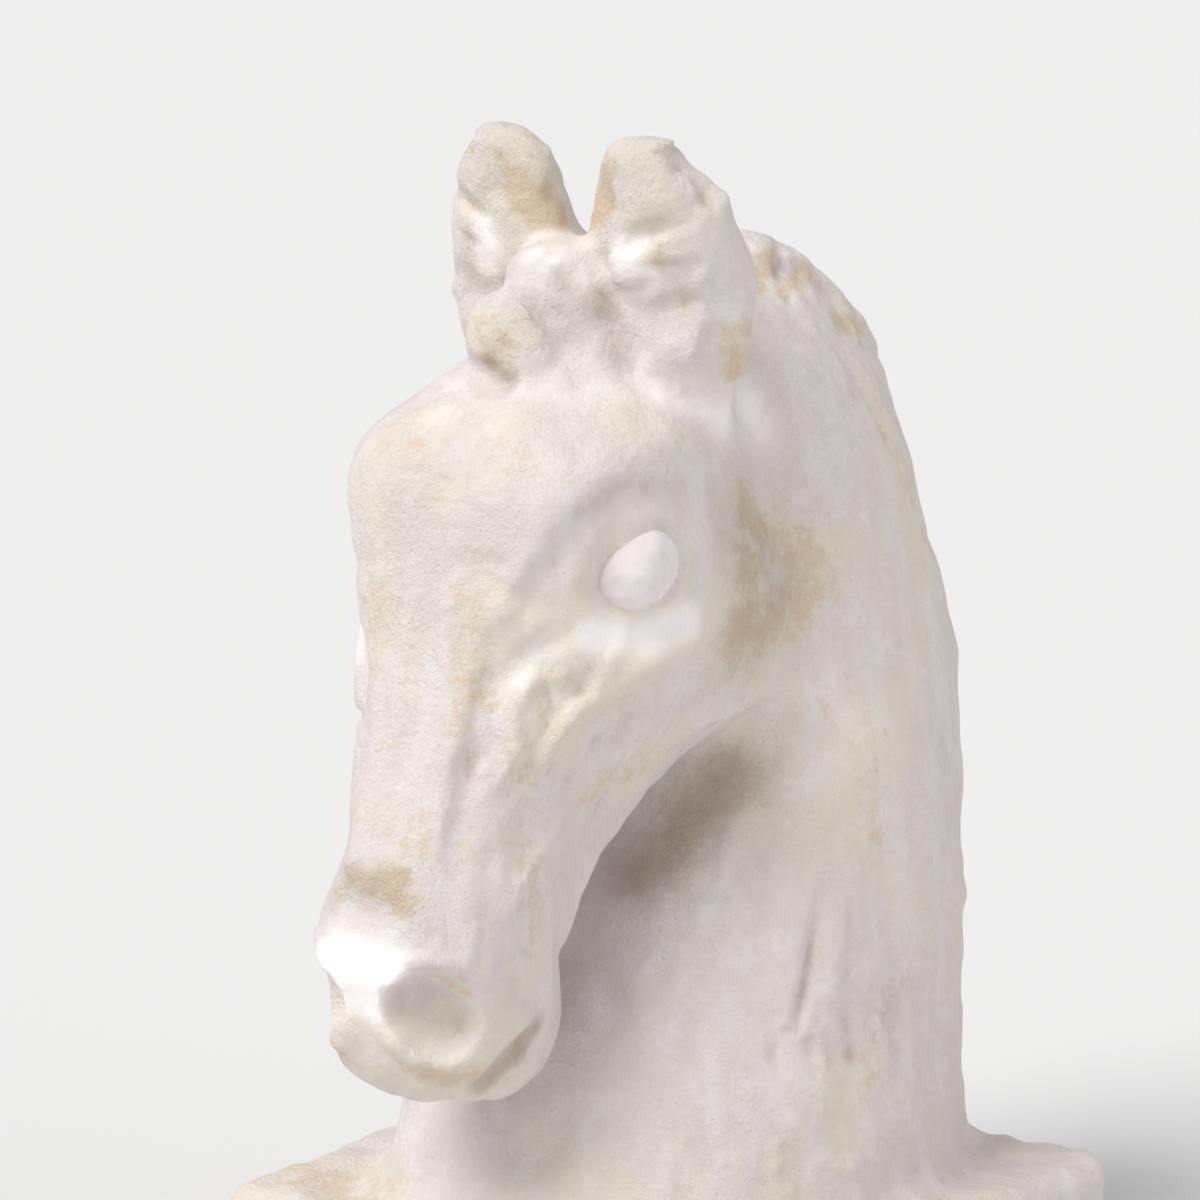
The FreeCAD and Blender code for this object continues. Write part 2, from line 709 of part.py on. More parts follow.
def build_flange_fasteners():
    """Round-head bolts up through the board and the flange, with washers and nuts."""
    places = flange_bolt_places()
    thread = size("FlangeBolt")
    low = size("BoardHeight")
    seat = low + size("BoardThick") + size("FlangeThick")
    washer = 2.0
    nut = 8.0

    def bolt(place):
        start = place + Vector(0, 0, low)
        shank = Part.makeCylinder(thread / 2, seat - low + washer + nut + 3, start)
        dome = Part.makeSphere(14, start + Vector(0, 0, 9.0))
        dome = dome.common(Part.makeBox(40, 40, 9, start + Vector(-20, -20, -9)))
        return dome.fuse(shank).removeSplitter()

    def flat_washer(place):
        return ring(21, thread, washer, place + Vector(0, 0, seat))

    def hex_nut(place):
        start = place + Vector(0, 0, seat + washer)
        return hexagon(17, nut, start).cut(Part.makeCylinder(thread / 2, nut, start))

    node(shaped("FlangeBolts", at_places(bolt, places)), "flange_bolts")
    node(shaped("FlangeWashers", at_places(flat_washer, places)), "flange_washers")
    node(shaped("FlangeNuts", at_places(hex_nut, places)), "flange_nuts")


def block_places():
    """Middles of the corner blocks, in plan."""
    reach = size("PlinthSide") / 2 - size("PlinthWall") - size("BlockSide") / 2
    return [Vector(x * reach, y * reach, 0) for x in (-1, 1) for y in (-1, 1)]


def board_screw(place):
    """A countersunk wood screw, driven upwards."""
    start = place + Vector(0, 0, size("BoardHeight"))
    shank = size("BoardScrew") / 2
    head = Part.makeCone(shank * 2, shank, shank, start)
    return head.fuse(Part.makeCylinder(shank, size("BoardScrewLength"), start)).removeSplitter()


# ---------------------------------------------------------------- plinth, board and ballast
def build_plinth():
    """The square plinth casting: worn edges, hollow below, open through the roof."""
    block = centred_box(
        "PlinthBlock", "PlinthSide", "PlinthSide", "RingHeight", "PlinthTop - RingHeight"
    )
    doc.recompute()
    rounded = block.Shape.makeFillet(size("CornerRadius"), upright_edges(block.Shape))
    rounded = rounded.makeFillet(size("EdgeRadius"), edges_at(rounded, size("PlinthTop")))
    outside = shaped("PlinthOutside", rounded)
    inside = centred_box(
        "PlinthInside",
        "PlinthSide - 2 * PlinthWall",
        "PlinthSide - 2 * PlinthWall",
        "0",
        "PlinthTop - PlinthRoof",
    )
    opening = centred_box(
        "RoofOpening", "RoofHoleWidth", "RoofHoleLength", "0", "2 * PlinthTop", "RoofHoleBack"
    )
    bolt_holes = []
    for index, place in enumerate(neck_bolt_places()):
        bolt_holes.append(cylinder(f"NeckBoltHole{index}", "NeckBolt", "2 * PlinthTop", "0", "0", "0"))
        bind(bolt_holes[-1], Placement__Base__x=str(place.x), Placement__Base__y=str(place.y))
    counterbore = lying_cylinder(
        "PlugCounterbore",
        "PlugDiameter + 22",
        "CounterboreDepth + 1",
        "0",
        "PlinthSide / 2 - CounterboreDepth",
        "PlugHeight",
    )
    socket_hole = lying_cylinder(
        "SocketHole",
        "PlugDiameter + 2 * PlugPlay + 2 * SocketWall",
        "PlinthWall",
        "0",
        "PlinthSide / 2 - PlinthWall",
        "PlugHeight",
    )
    tools = join("PlinthCutters", [inside, opening, counterbore, socket_hole] + bolt_holes)
    return node(cut("Plinth", outside, tools), "plinth")


def upright_edges(shape):
    """Edges that run straight up."""
    return [edge for edge in shape.Edges if abs(edge.tangentAt(edge.FirstParameter).z) > 0.9]


def edges_at(shape, height):
    """Edges that lie wholly at one height."""
    level = []
    for edge in shape.Edges:
        if all(abs(vertex.Z - height) < 0.01 for vertex in edge.Vertexes):
            level.append(edge)
    return level


def build_base():
    """Rubber ring, base board, corner blocks and the board's screws."""
    outer = centred_box("RingOuter", "PlinthSide", "PlinthSide", "0", "RingHeight")
    doc.recompute()
    rounded = shaped("RingOutside", outer.Shape.makeFillet(size("CornerRadius"), upright_edges(outer.Shape)))
    inner = centred_box(
        "RingInside", "PlinthSide - 2 * PlinthWall", "PlinthSide - 2 * PlinthWall", "-1", "RingHeight + 2"
    )
    node(cut("RimRing", rounded, inner), "rim_ring")

    side = "PlinthSide - 2 * PlinthWall - 2 * BoardGap"
    board = centred_box("BoardBlank", side, side, "BoardHeight", "BoardThick")
    screws = shaped("BoardScrews", at_places(board_screw, block_places()))
    shanks = []
    for index, place in enumerate(flange_bolt_places()):
        shanks.append(cylinder(f"BoardBoltHole{index}", "FlangeBolt", "PlinthTop", "0", "0", "0"))
        bind(shanks[-1], Placement__Base__x=str(place.x), Placement__Base__y=str(place.y))
    holes = join("BoardHoles", shanks + [screws])
    node(cut("BaseBoard", board, holes), "base_board")
    node(screws, "board_screws")

    blocks = []
    for index, place in enumerate(block_places()):
        block = box(f"Block{index}", "BlockSide", "BlockSide", "BlockHeight", "0", "0", "0")
        bind(
            block,
            Placement__Base__x=f"{place.x} - BlockSide / 2",
            Placement__Base__y=f"{place.y} - BlockSide / 2",
            Placement__Base__z="BoardHeight + BoardThick",
        )
        blocks.append(block)
    node(cut("CornerBlocks", group("BlockBlanks", blocks), screws), "corner_blocks")


def build_post():
    """Steel post, flange plate and gussets."""
    low = "BoardHeight + BoardThick + FlangeThick"
    length = f"PlinthTop + PostTop - ( {low} )"
    outside = cylinder("PostOutside", "PostDiameter", length, "0", "PostBack", low)
    inside = cylinder("PostInside", "PostDiameter - 2 * PostWall", length, "0", "PostBack", low)
    node(cut("ArmaturePost", outside, inside), "armature_post")

    plate = centred_box(
        "FlangeBlank", "FlangeSide", "FlangeSide", "BoardHeight + BoardThick", "FlangeThick", "PostBack"
    )
    holes = []
    for index, place in enumerate(flange_bolt_places()):
        holes.append(cylinder(f"FlangeHole{index}", "FlangeBolt", "PlinthTop", "0", "0", "0"))
        bind(holes[-1], Placement__Base__x=str(place.x), Placement__Base__y=str(place.y))
    node(cut("PostFlange", plate, join("FlangeHoles", holes)), "post_flange")

    plates = [gusset(angle).cut(post_cylinder()) for angle in (0, 90, 180, 270)]
    node(shaped("FlangeGussets", Part.makeCompound(plates)), "flange_gussets")


def build_ballast():
    """Sand lying on the board round everything that stands there."""
    side = size("PlinthSide") / 2 - size("PlinthWall")
    low = size("BoardHeight") + size("BoardThick")
    sand = wide_box(low, low + size("SandDepth"), side, -side, side)
    plates = ["corner_blocks", "post_flange", "flange_gussets"]
    fasteners = ["board_screws", "flange_bolts", "flange_washers", "flange_nuts"]
    for thing in NODES:
        if thing.Label in plates + fasteners:
            sand = sand.cut(thing.Shape)
    sand = sand.cut(post_cylinder())
    node(shaped("SandBallast", sand), "sand_ballast")


# ---------------------------------------------------------------- filler plug
def build_plug():
    """Socket bonded in the plinth's rear wall, sealing washer and threaded plug."""
    bore = "PlugDiameter + 2 * PlugPlay"
    rear = "PlinthSide / 2"
    seat = f"{rear} - CounterboreDepth"
    tube = lying_cylinder(
        "SocketTube", f"{bore} + 2 * SocketWall", "PlinthWall - CounterboreDepth",
        "0", f"{rear} - PlinthWall", "PlugHeight",
    )
    collar = lying_cylinder("SocketCollar", "PlugDiameter + 20", "CollarThick", "0", seat, "PlugHeight")
    hole = lying_cylinder("SocketBore", bore, "PlinthWall", "0", f"{rear} - PlinthWall", "PlugHeight")
    node(cut("PlugSocket", join("SocketBlank", [tube, collar]), hole), "plug_socket")

    seal_start = f"{seat} + CollarThick"
    outside = lying_cylinder("SealOutside", "PlugDiameter + 12", "SealThick", "0", seal_start, "PlugHeight")
    inside = lying_cylinder("SealInside", bore, "SealThick", "0", seal_start, "PlugHeight")
    node(cut("PlugSeal", outside, inside), "plug_seal")

    head_start = f"{seal_start} + SealThick + HeadGap"
    head = lying_cylinder("PlugHead", "PlugDiameter + 14", "PlugHeadThick", "0", head_start, "PlugHeight")
    thread = lying_cylinder(
        "PlugThread", "PlugDiameter", f"{head_start} - ( {rear} - PlinthWall )",
        "0", f"{rear} - PlinthWall", "PlugHeight",
    )
    slot = box(
        "PlugSlot", "PlugDiameter", "PlugHeadThick", "5",
        "0 - PlugDiameter / 2", f"{head_start} + PlugHeadThick - 2.5", "PlugHeight - 2.5",
    )
    node(cut("FillerPlug", join("PlugBlank", [head, thread]), slot), "filler_plug")


# ---------------------------------------------------------------- the build
build_plinth()
build_base()
build_post()
build_flange_fasteners()
build_neck_fasteners()
build_plug()
doc.recompute()
build_bust()
build_ballast()
doc.recompute()

for thing in doc.Objects:
    if "Invalid" in thing.State or "Error" in thing.State:
        raise RuntimeError(f"{thing.Name} failed: {thing.State}")

os.makedirs(OUT_FOLDER, exist_ok=True)
for thing in NODES:
    if thing.Shape.isNull() or not thing.Shape.isValid() or not thing.Shape.Solids:
        raise RuntimeError(f"{thing.Label} is not a sound solid")
    volume = thing.Shape.Volume / 1000.0
    print(f"{thing.Label}: {len(thing.Shape.Solids)} solids, {volume:.1f} cm3")
    thing.Shape.exportStep(os.path.join(OUT_FOLDER, thing.Label + ".step"))
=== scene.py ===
"""Looks of the giant chess knight: hand-modelled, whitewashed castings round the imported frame.

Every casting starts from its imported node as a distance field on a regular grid.
The fields are blended, modelled with brush strokes and roughened, then turned back into
meshes and cut into the same separate pieces as the frame has.
Lengths in the modelling code are millimetres; "rise" is a height above the plinth's top.
"""

import math

import bmesh
import bpy
import numpy as np
import openvdb
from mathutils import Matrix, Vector


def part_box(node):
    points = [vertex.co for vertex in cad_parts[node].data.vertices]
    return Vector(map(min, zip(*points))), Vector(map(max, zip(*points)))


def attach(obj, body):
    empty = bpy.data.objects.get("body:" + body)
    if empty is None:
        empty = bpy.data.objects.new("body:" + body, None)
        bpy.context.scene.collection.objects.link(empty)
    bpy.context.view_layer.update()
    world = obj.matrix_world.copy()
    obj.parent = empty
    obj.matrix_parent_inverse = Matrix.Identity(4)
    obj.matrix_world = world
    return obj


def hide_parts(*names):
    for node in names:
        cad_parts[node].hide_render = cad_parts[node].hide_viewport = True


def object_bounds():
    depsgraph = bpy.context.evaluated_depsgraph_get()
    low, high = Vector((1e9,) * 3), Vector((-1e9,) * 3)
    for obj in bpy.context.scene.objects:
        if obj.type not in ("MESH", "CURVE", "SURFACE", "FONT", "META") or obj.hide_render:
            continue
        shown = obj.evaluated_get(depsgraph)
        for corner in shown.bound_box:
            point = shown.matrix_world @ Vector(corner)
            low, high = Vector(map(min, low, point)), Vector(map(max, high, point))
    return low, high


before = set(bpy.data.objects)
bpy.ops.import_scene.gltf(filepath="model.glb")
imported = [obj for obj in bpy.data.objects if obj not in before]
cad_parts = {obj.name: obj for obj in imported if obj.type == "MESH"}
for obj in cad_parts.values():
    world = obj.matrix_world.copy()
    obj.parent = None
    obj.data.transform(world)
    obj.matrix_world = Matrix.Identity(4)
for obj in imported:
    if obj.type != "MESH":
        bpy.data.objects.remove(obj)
cad_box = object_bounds()

MM = 0.001
VOXEL = 2.1  # spacing of the fields' grid, in millimetres
BAND = 10  # half width of the fields' exact band, in voxels
MARGIN = 16.0  # empty space kept round the fields, in millimetres
PLINTH_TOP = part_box("plinth")[1].z / MM
SEAM_RISE = 4.0  # the castings meet the plinth this far above its top
WIDE = 400.0  # reach of the boxes that cut the castings
WALL = 9.0  # least thickness of the hollow castings
STAND_OFF = 14.0  # how far the ears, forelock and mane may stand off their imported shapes
HIDDEN_STRIDE = 4  # voxels to a step on the surface of the hollow
CRUMB = 400  # loose bits with fewer points than this are dropped
HAND = np.random.default_rng(11)  # small differences between the two sides


# ------------ distance fields
def grid_frame():
    """Corner and voxel counts of the grid that holds the whole knight."""
    low = np.array(cad_box[0]) / MM - MARGIN
    high = np.array(cad_box[1]) / MM + MARGIN
    low = np.floor(low / VOXEL) * VOXEL
    counts = np.ceil((high - low) / VOXEL).astype(int) + 1
    return low, counts


GRID_LOW, GRID_COUNT = grid_frame()
GRID_X = (GRID_LOW[0] + VOXEL * np.arange(GRID_COUNT[0])).astype(np.float32)[:, None, None]
GRID_Y = (GRID_LOW[1] + VOXEL * np.arange(GRID_COUNT[1])).astype(np.float32)[None, :, None]
GRID_Z = (GRID_LOW[2] + VOXEL * np.arange(GRID_COUNT[2])).astype(np.float32)[None, None, :]


def field_of(*nodes):
    """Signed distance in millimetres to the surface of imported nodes, negative inside."""
    field = np.full(GRID_COUNT, BAND * VOXEL, np.float32)
    for name in nodes:
        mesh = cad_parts[name].data
        points = np.empty(len(mesh.vertices) * 3, np.float32)
        mesh.vertices.foreach_get("co", points)
        mesh.calc_loop_triangles()
        corners = np.empty(len(mesh.loop_triangles) * 3, np.int32)
        mesh.loop_triangles.foreach_get("vertices", corners)
        part = distance_to(points.reshape(-1, 3) / MM, triangles=corners.reshape(-1, 3))
        np.minimum(field, part, out=field)
    return field


def distance_to(points, **faces):
    """Signed distance field of a closed surface given in millimetres."""
    transform = openvdb.createLinearTransform(voxelSize=VOXEL)
    transform.postTranslate(tuple(float(value) for value in GRID_LOW))
    level = openvdb.FloatGrid.createLevelSetFromPolygons(
        points, transform=transform, halfWidth=BAND, **faces
    )
    field = np.empty(GRID_COUNT, np.float32)
    level.copyToArray(field, ijk=(0, 0, 0))
    return field


def surface_of(field, stride=1):
    """Points in millimetres and quads on the surface of a field, from every stride-th voxel."""
    grid = openvdb.FloatGrid(BAND * VOXEL)
    grid.copyFromArray(np.clip(field[::stride, ::stride, ::stride], -BAND * VOXEL, BAND * VOXEL))
    points, quads = grid.convertToQuads(isovalue=0)
    return points * VOXEL * stride + GRID_LOW, quads


def measured_again(field):
    """The same surface with true distances round it."""
    points, quads = surface_of(field)
    return distance_to(points.astype(np.float32), quads=quads.astype(np.int32))


def filled(field):
    """Close the seam in the middle of a field, and fill the hollow inside its walls."""
    middle = int(round(-GRID_LOW[0] / VOXEL))
    field[middle] = (field[middle - 1] + field[middle + 1]) / 2
    inside = field < 0
    hollow = ~inside
    for axis in (0, 1):
        ahead = np.logical_or.accumulate(inside, axis=axis)
        behind = np.flip(np.logical_or.accumulate(np.flip(inside, axis), axis=axis), axis)
        hollow &= ahead & behind
    hollow = grow(~grow(~hollow, 3), 6)
    return measured_again(np.where(hollow, -3 * VOXEL, field))


def grow(mask, steps):
    """A mask widened by whole voxels."""
    for _ in range(steps):
        wider = mask.copy()
        wider[1:] |= mask[:-1]
        wider[:-1] |= mask[1:]
        wider[:, 1:] |= mask[:, :-1]
        wider[:, :-1] |= mask[:, 1:]
        wider[:, :, 1:] |= mask[:, :, :-1]
        wider[:, :, :-1] |= mask[:, :, 1:]
        mask = wider
    return mask


def blend_union(first, second, reach):
    """Union of two fields with a fillet about as large as reach."""
    mix = np.clip(0.5 + 0.5 * (second - first) / reach, 0, 1)
    return second + (first - second) * mix - reach * mix * (1 - mix)


def blur(field, width):
    """Box blur of a field, twice, over a width in millimetres."""
    count = max(1, int(round(width / VOXEL / 2)))
    span = 2 * count + 1
    for _ in range(2):
        for axis in range(3):
            padding = [(count + 1, count) if a == axis else (0, 0) for a in range(3)]
            total = np.cumsum(np.pad(field, padding, mode="edge"), axis=axis, dtype=np.float64)
            high = [slice(None)] * 3
            low = [slice(None)] * 3
            high[axis] = slice(span, None)
            low[axis] = slice(None, -span)
            field = ((total[tuple(high)] - total[tuple(low)]) / span).astype(np.float32)
    return field


def ease(value):
    """Smooth step from 0 to 1."""
    value = np.clip(value, 0, 1)
    return value * value * (3 - 2 * value)


def value_noise(period, seed, stretch=(1, 1, 1)):
    """Smooth random values from -1 to 1 on the grid, about a period apart."""
    steps = [VOXEL / (period * along) for along in stretch]
    counts = [int(count * step) + 3 for count, step in zip(GRID_COUNT, steps)]
    values = np.random.default_rng(seed).uniform(-1, 1, counts).astype(np.float32)
    for axis in range(3):
        place = np.arange(GRID_COUNT[axis]) * steps[axis]
        base = place.astype(int)
        shape = [-1 if a == axis else 1 for a in range(3)]
        share = ease(place - base).astype(np.float32).reshape(shape)
        low = values.take(base, axis=axis)
        values = low + (values.take(base + 1, axis=axis) - low) * share
    return values


# ------------ brush strokes
def sample(field, points):
    """Values of a field at points in millimetres, trilinear."""
    place = np.clip((points - GRID_LOW) / VOXEL, 0, GRID_COUNT - 1.001)
    base = place.astype(int)
    share = (place - base).astype(np.float32)
    value = np.zeros(len(points), np.float32)
    for corner in range(8):
        step = np.array([corner & 1, corner >> 1 & 1, corner >> 2 & 1])
        weight = np.where(step == 1, share, 1 - share).prod(axis=1)
        index = base + step
        value += weight * field[index[:, 0], index[:, 1], index[:, 2]]
    return value


def slope_of(field, points):
    """Unit gradients of a field at points."""
    slope = np.zeros((len(points), 3), np.float32)
    for axis in range(3):
        step = np.zeros(3)
        step[axis] = VOXEL * 0.75
        slope[:, axis] = sample(field, points + step) - sample(field, points - step)
    return slope / np.maximum(np.linalg.norm(slope, axis=1, keepdims=True), 1e-6)


def snap(field, points):
    """Points moved onto the surface of a field."""
    for _ in range(4):
        points = points - sample(field, points)[:, None] * slope_of(field, points)
    return points


def smooth_path(points):
    """A smooth path through points given as (x, y, rise), as (x, y, z) a step apart."""
    step = 4.0
    points = np.array(points, float) + (0, 0, PLINTH_TOP)
    if len(points) == 1:
        return points
    closed = np.allclose(points[0], points[-1])
    before = points[-2] if closed else 2 * points[0] - points[1]
    after = points[1] if closed else 2 * points[-1] - points[-2]
    padded = np.vstack([before, points, after])
    path = [points[0]]
    for p0, p1, p2, p3 in zip(padded, padded[1:], padded[2:], padded[3:]):
        count = max(1, int(np.linalg.norm(p2 - p1) / step))
        for t in np.arange(1, count + 1) / count:
            bend = 2 * p0 - 5 * p1 + 4 * p2 - p3
            turn = 3 * p1 - p0 - 3 * p2 + p3
            path.append(0.5 * (2 * p1 + (p2 - p0) * t + bend * t**2 + turn * t**3))
    return np.array(path)


def window_of(low, high):
    """Slices of the grid that cover a box in millimetres."""
    first = np.clip(np.floor((low - GRID_LOW) / VOXEL), 0, GRID_COUNT - 1).astype(int)
    last = np.clip(np.ceil((high - GRID_LOW) / VOXEL) + 1, first + 1, GRID_COUNT).astype(int)
    return tuple(slice(a, b) for a, b in zip(first, last))


def offsets(window, point):
    """Distances along X, Y and Z from a point in millimetres, in a window of the grid."""
    x, y, z = window
    return GRID_X[x] - point[0], GRID_Y[:, y] - point[1], GRID_Z[:, :, z] - point[2]


def brush(path, width, taper):
    """Weights from 1 on a path to 0 away from it, and the window of the grid that they fill."""
    reach = 2.3 * width
    window = window_of(path.min(axis=0) - reach, path.max(axis=0) + reach)
    shape = tuple(part.stop - part.start for part in window)
    nearest = np.full(shape, reach**2, np.float32)
    along = np.zeros(shape, np.float32)
    ends = np.vstack([path, path]) if len(path) == 1 else path
    lengths = np.linalg.norm(np.diff(ends, axis=0), axis=1)
    total = max(lengths.sum(), 1e-6)
    start = 0.0
    for first, second, length in zip(ends, ends[1:], lengths):
        inner = window_of(np.minimum(first, second) - reach, np.maximum(first, second) + reach)
        local = tuple(slice(i.start - w.start, i.stop - w.start) for i, w in zip(inner, window))
        dx, dy, dz = offsets(inner, first)
        run = second - first
        share = np.clip((dx * run[0] + dy * run[1] + dz * run[2]) / max(length**2, 1e-6), 0, 1)
        square = (dx - run[0] * share) ** 2 + (dy - run[1] * share) ** 2 + (dz - run[2] * share) ** 2
        closer = square < nearest[local]
        nearest[local][closer] = square[closer]
        along[local][closer] = (start + share * length)[closer] / total
        start += length
    weight = np.exp(-nearest / width**2) - math.exp(-((reach / width) ** 2))
    if taper > 0 and len(path) > 1:
        weight = weight * ease(np.minimum(along, 1 - along) / taper)
    return weight, window


def mirrored(points):
    """Points on the other side of the middle, each moved a little as a hand would."""
    points = np.array(points, float)
    points[:, 0] *= -1
    closed = len(points) > 1 and np.allclose(points[0], points[-1])
    points = points + HAND.normal(0, 1.2, points.shape)
    if closed:
        points[-1] = points[0]
    return points


def stroke(field, points, width, depth, sides=2, taper=0.3):
    """Carve (depth over 0) or build up (under 0) along a path through (x, y, rise) points."""
    for side in range(sides):
        path = snap(field, smooth_path(points if side == 0 else mirrored(points)))
        weight, window = brush(path, width, taper)
        field[window] += depth * weight


def strokes(field, *marks):
    """Strokes in a row, each as points, width, depth and, where they differ, sides and taper."""
    for mark in marks:
        stroke(field, *mark)


def soften(field, points, width, blur_width):
    """Blend a field with its own blur along a path, on both sides."""
    for side in range(2):
        path = smooth_path(points if side == 0 else mirrored(points))
        weight, window = brush(path, width, 0.0)
        part = field[window]
        field[window] = part + (blur(part, blur_width) - part) * np.clip(weight * 1.5, 0, 1)


def paint(mask, points, width, strength, sides=2):
    """Raise a mask to a strength round a path."""
    for side in range(sides):
        path = smooth_path(points if side == 0 else mirrored(points))
        weight, window = brush(path, width, 0.0)
        mask[window] = np.maximum(mask[window], strength * weight)


# ------------ the knight's shape
def plinth_field():
    """A worn square block whose edges are well rounded."""
    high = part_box("plinth")[1]
    radius = 15.0
    half_x = high.x / MM - radius
    half_y = high.y / MM - radius
    top = high.z / MM - radius
    side = np.hypot(np.maximum(np.abs(GRID_X) - half_x, 0), np.maximum(np.abs(GRID_Y) - half_y, 0))
    outside = np.hypot(side, np.maximum(GRID_Z - top, 0))
    inner = np.maximum(np.maximum(np.abs(GRID_X) - half_x, np.abs(GRID_Y) - half_y), GRID_Z - top)
    return (outside + np.minimum(inner, 0) - radius).astype(np.float32)


def knight_fields():
    """The blended surface of the whole knight, its hollow, and where each part of it ends."""
    shells = field_of("left_shell", "right_shell")
    mane = field_of("mane")
    ears = field_of("left_ear", "right_ear")
    forelock = field_of("forelock")
    eyes = field_of("left_eye", "right_eye")
    body = filled(np.minimum(shells, mane))
    body = np.minimum(body, blur(np.minimum(body, eyes + 3), 10))
    solid = np.minimum(np.minimum(shells, mane), eyes)
    clearance = 1.5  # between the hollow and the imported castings' inner walls
    hollow = np.maximum(clearance - solid, body + WALL)
    model_ears(ears)
    forelock = blur(forelock, 5)
    knight = blend_union(body, ears, 18)
    knight = blend_union(knight, forelock, 9)
    regions = {
        "ears": np.maximum(ears - body - 1, ears - STAND_OFF),
        "forelock": np.maximum(forelock - np.minimum(body, ears) - 1, forelock - STAND_OFF),
        "mane": np.maximum(mane - np.minimum(shells, ears), mane - STAND_OFF),
    }
    knight = blend_union(knight, plinth_field(), 24)
    return knight, hollow, regions


def model_ears(ears):
    """Fill the scooped fronts, leave them lumpy, and slope the tops outwards."""
    strokes(
        ears,
        ([(59, -80, 452), (60, -84, 485), (56, -86, 520)], 18, -13, 2, 0),
        ([(62, -72, 556), (73, -69, 540), (82, -62, 520)], 12, 9),
        ([(60, -80, 556), (66, -77, 550), (73, -73, 538)], 9, 8, 1),
        ([(54, -76, 549), (60, -76, 543), (66, -74, 536)], 6, 5, 1),
        ([(46, -84, 512), (55, -80, 492), (60, -78, 468)], 17, -10),
        ([(38, -86, 498), (44, -84, 480)], 11, -8, 1),
        ([(40, -94, 506), (48, -94, 514), (58, -90, 517), (70, -80, 511)], 4, -2.5, 1),
        ([(38, -94, 540), (33, -94, 525), (30, -92, 510)], 6, 3.5),
        ([(54, -90, 540), (52, -91, 526)], 5, 2.2),
        ([(60, -88, 490), (66, -80, 468)], 8, 1.8),
        ([(50, -88, 480), (54, -84, 460)], 6, -2.6),
        ([(58, -84, 508), (60, -82, 492)], 12, -7),
        ([(-66, -72, 516), (-70, -70, 500), (-70, -70, 484)], 7, -3.5, 1),
        ([(-30, -92, 530), (-44, -92, 512), (-40, -90, 492)], 4, 2.4, 1),
    )


def model_forelock(knight):
    """Two faceted lobes of hair that fan out into the temple."""
    strokes(
        knight,
        ([(14, -112, 474), (28, -102, 456), (46, -92, 438)], 14, -9, 1),
        ([(0, -132, 454), (16, -126, 444), (36, -114, 434)], 13, -8, 1),
        ([(20, -90, 500), (30, -86, 486), (38, -84, 466)], 6, 3.5, 1),
        ([(-24, -130, 482), (-10, -134, 484)], 9, 5, 1),
        ([(10, -116, 492), (24, -104, 486), (32, -92, 478)], 8, 4.5, 1),
        ([(4, -112, 496), (14, -116, 482), (18, -116, 466)], 5, -4, 1),
    )
    for step in range(8):
        top = (-8 + 5 * step, -134 + 4 * step, 474 + 1.5 * step)
        middle = (4 + 6 * step, -132 + 5 * step, 456 - 1.5 * step)
        bottom = (14 + 7 * step, -130 + 6 * step, 440 - 2 * step)
        stroke(knight, [top, middle, bottom], 3.0, 4.2, sides=1)
    stroke(knight, [(-26, -132, 442), (-4, -148, 438), (16, -138, 434)], 5, 5.5, sides=1)
    chip(knight, 27, 40, (-24, -150, 440), (40, -85, 495), (0.5, 0.3, -0.8), 4, 3.0)


def model_head(knight):
    """Brow, socket, crests and the smooth join of cheek and neck."""
    join = [(78, -2, 262), (82, 15, 300), (80, 25, 340), (70, 15, 385), (61, -9, 403)]
    soften(knight, join, 20, 26)
    strokes(
        knight,
        ([(46, -190, 330), (60, -177, 377), (69, -148, 401), (74, -107, 408), (70, -50, 391)], 11, -4),
        ([(50, -188, 325), (63, -175, 365), (73, -154, 383), (80, -127, 387), (82, -85, 377)], 8, 3.4),
        ([(88, -90, 350), (84, -125, 323), (70, -164, 334)], 9, 3.5, 2, 0.2),
        ([(88, -75, 322), (79, -127, 303), (60, -168, 284), (46, -196, 251)], 8, -6),
        ([(83, -95, 296), (68, -147, 275), (54, -176, 243), (46, -198, 207)], 10, 5.5),
        ([(70, -160, 330), (57, -179, 318), (46, -190, 306), (33, -202, 290)], 6, 4.5),
        ([(74, -148, 308), (62, -170, 288), (52, -184, 262), (46, -196, 236)], 5.5, 6.5),
        ([(80, -130, 300), (72, -152, 282), (60, -170, 254)], 6, -4.5),
        ([(72, -132, 276), (62, -154, 258), (54, -168, 232)], 5, 4.5),
        ([(44, -200, 222), (46, -196, 196), (50, -186, 176)], 7, -3.5),
        ([(60, -174, 312), (50, -186, 292), (42, -195, 270)], 5, -2.5),
        ([(19, -197, 360), (18, -207, 293), (16, -221, 246), (22, -238, 200)], 6, -3.2),
        ([(42, -191, 323), (35, -206, 266), (36, -222, 210), (38, -233, 182)], 8, 4.2),
        ([(34, -190, 352), (30, -202, 300), (28, -216, 250), (30, -230, 210)], 6, -3.2),
        ([(54, -182, 372), (47, -190, 348), (41, -197, 326)], 6, -2),
        ([(59, -103, 238), (69, -76, 258), (72, -37, 264), (76, 4, 274), (82, 22, 296)], 7, -4),
        ([(50, -90, 440), (60, -90, 428), (70, -84, 418)], 8, 1.6),
        ([(82, -62, 470), (81, -54, 454), (76, -46, 436), (70, -46, 428)], 6, -4),
        ([(84, -38, 480), (83, -33, 456), (76, -30, 434)], 9, 2.4),
        ([(74, -50, 422), (64, -64, 424), (56, -76, 428)], 4.5, 3.4),
        ([(76, -45, 352), (82, -20, 318), (80, -40, 300)], 14, -2.4),
    )
    for step in range(7):
        start = (71 + step * 0.5, 6 + step * 1.5, 292 - step * 4.5)
        middle = (80 + step * 0.5, 14 + step, 270 - step * 4)
        end = (89, 26 - step, 256 - step * 4)
        stroke(knight, [start, middle, end], 1.8, 1.3)


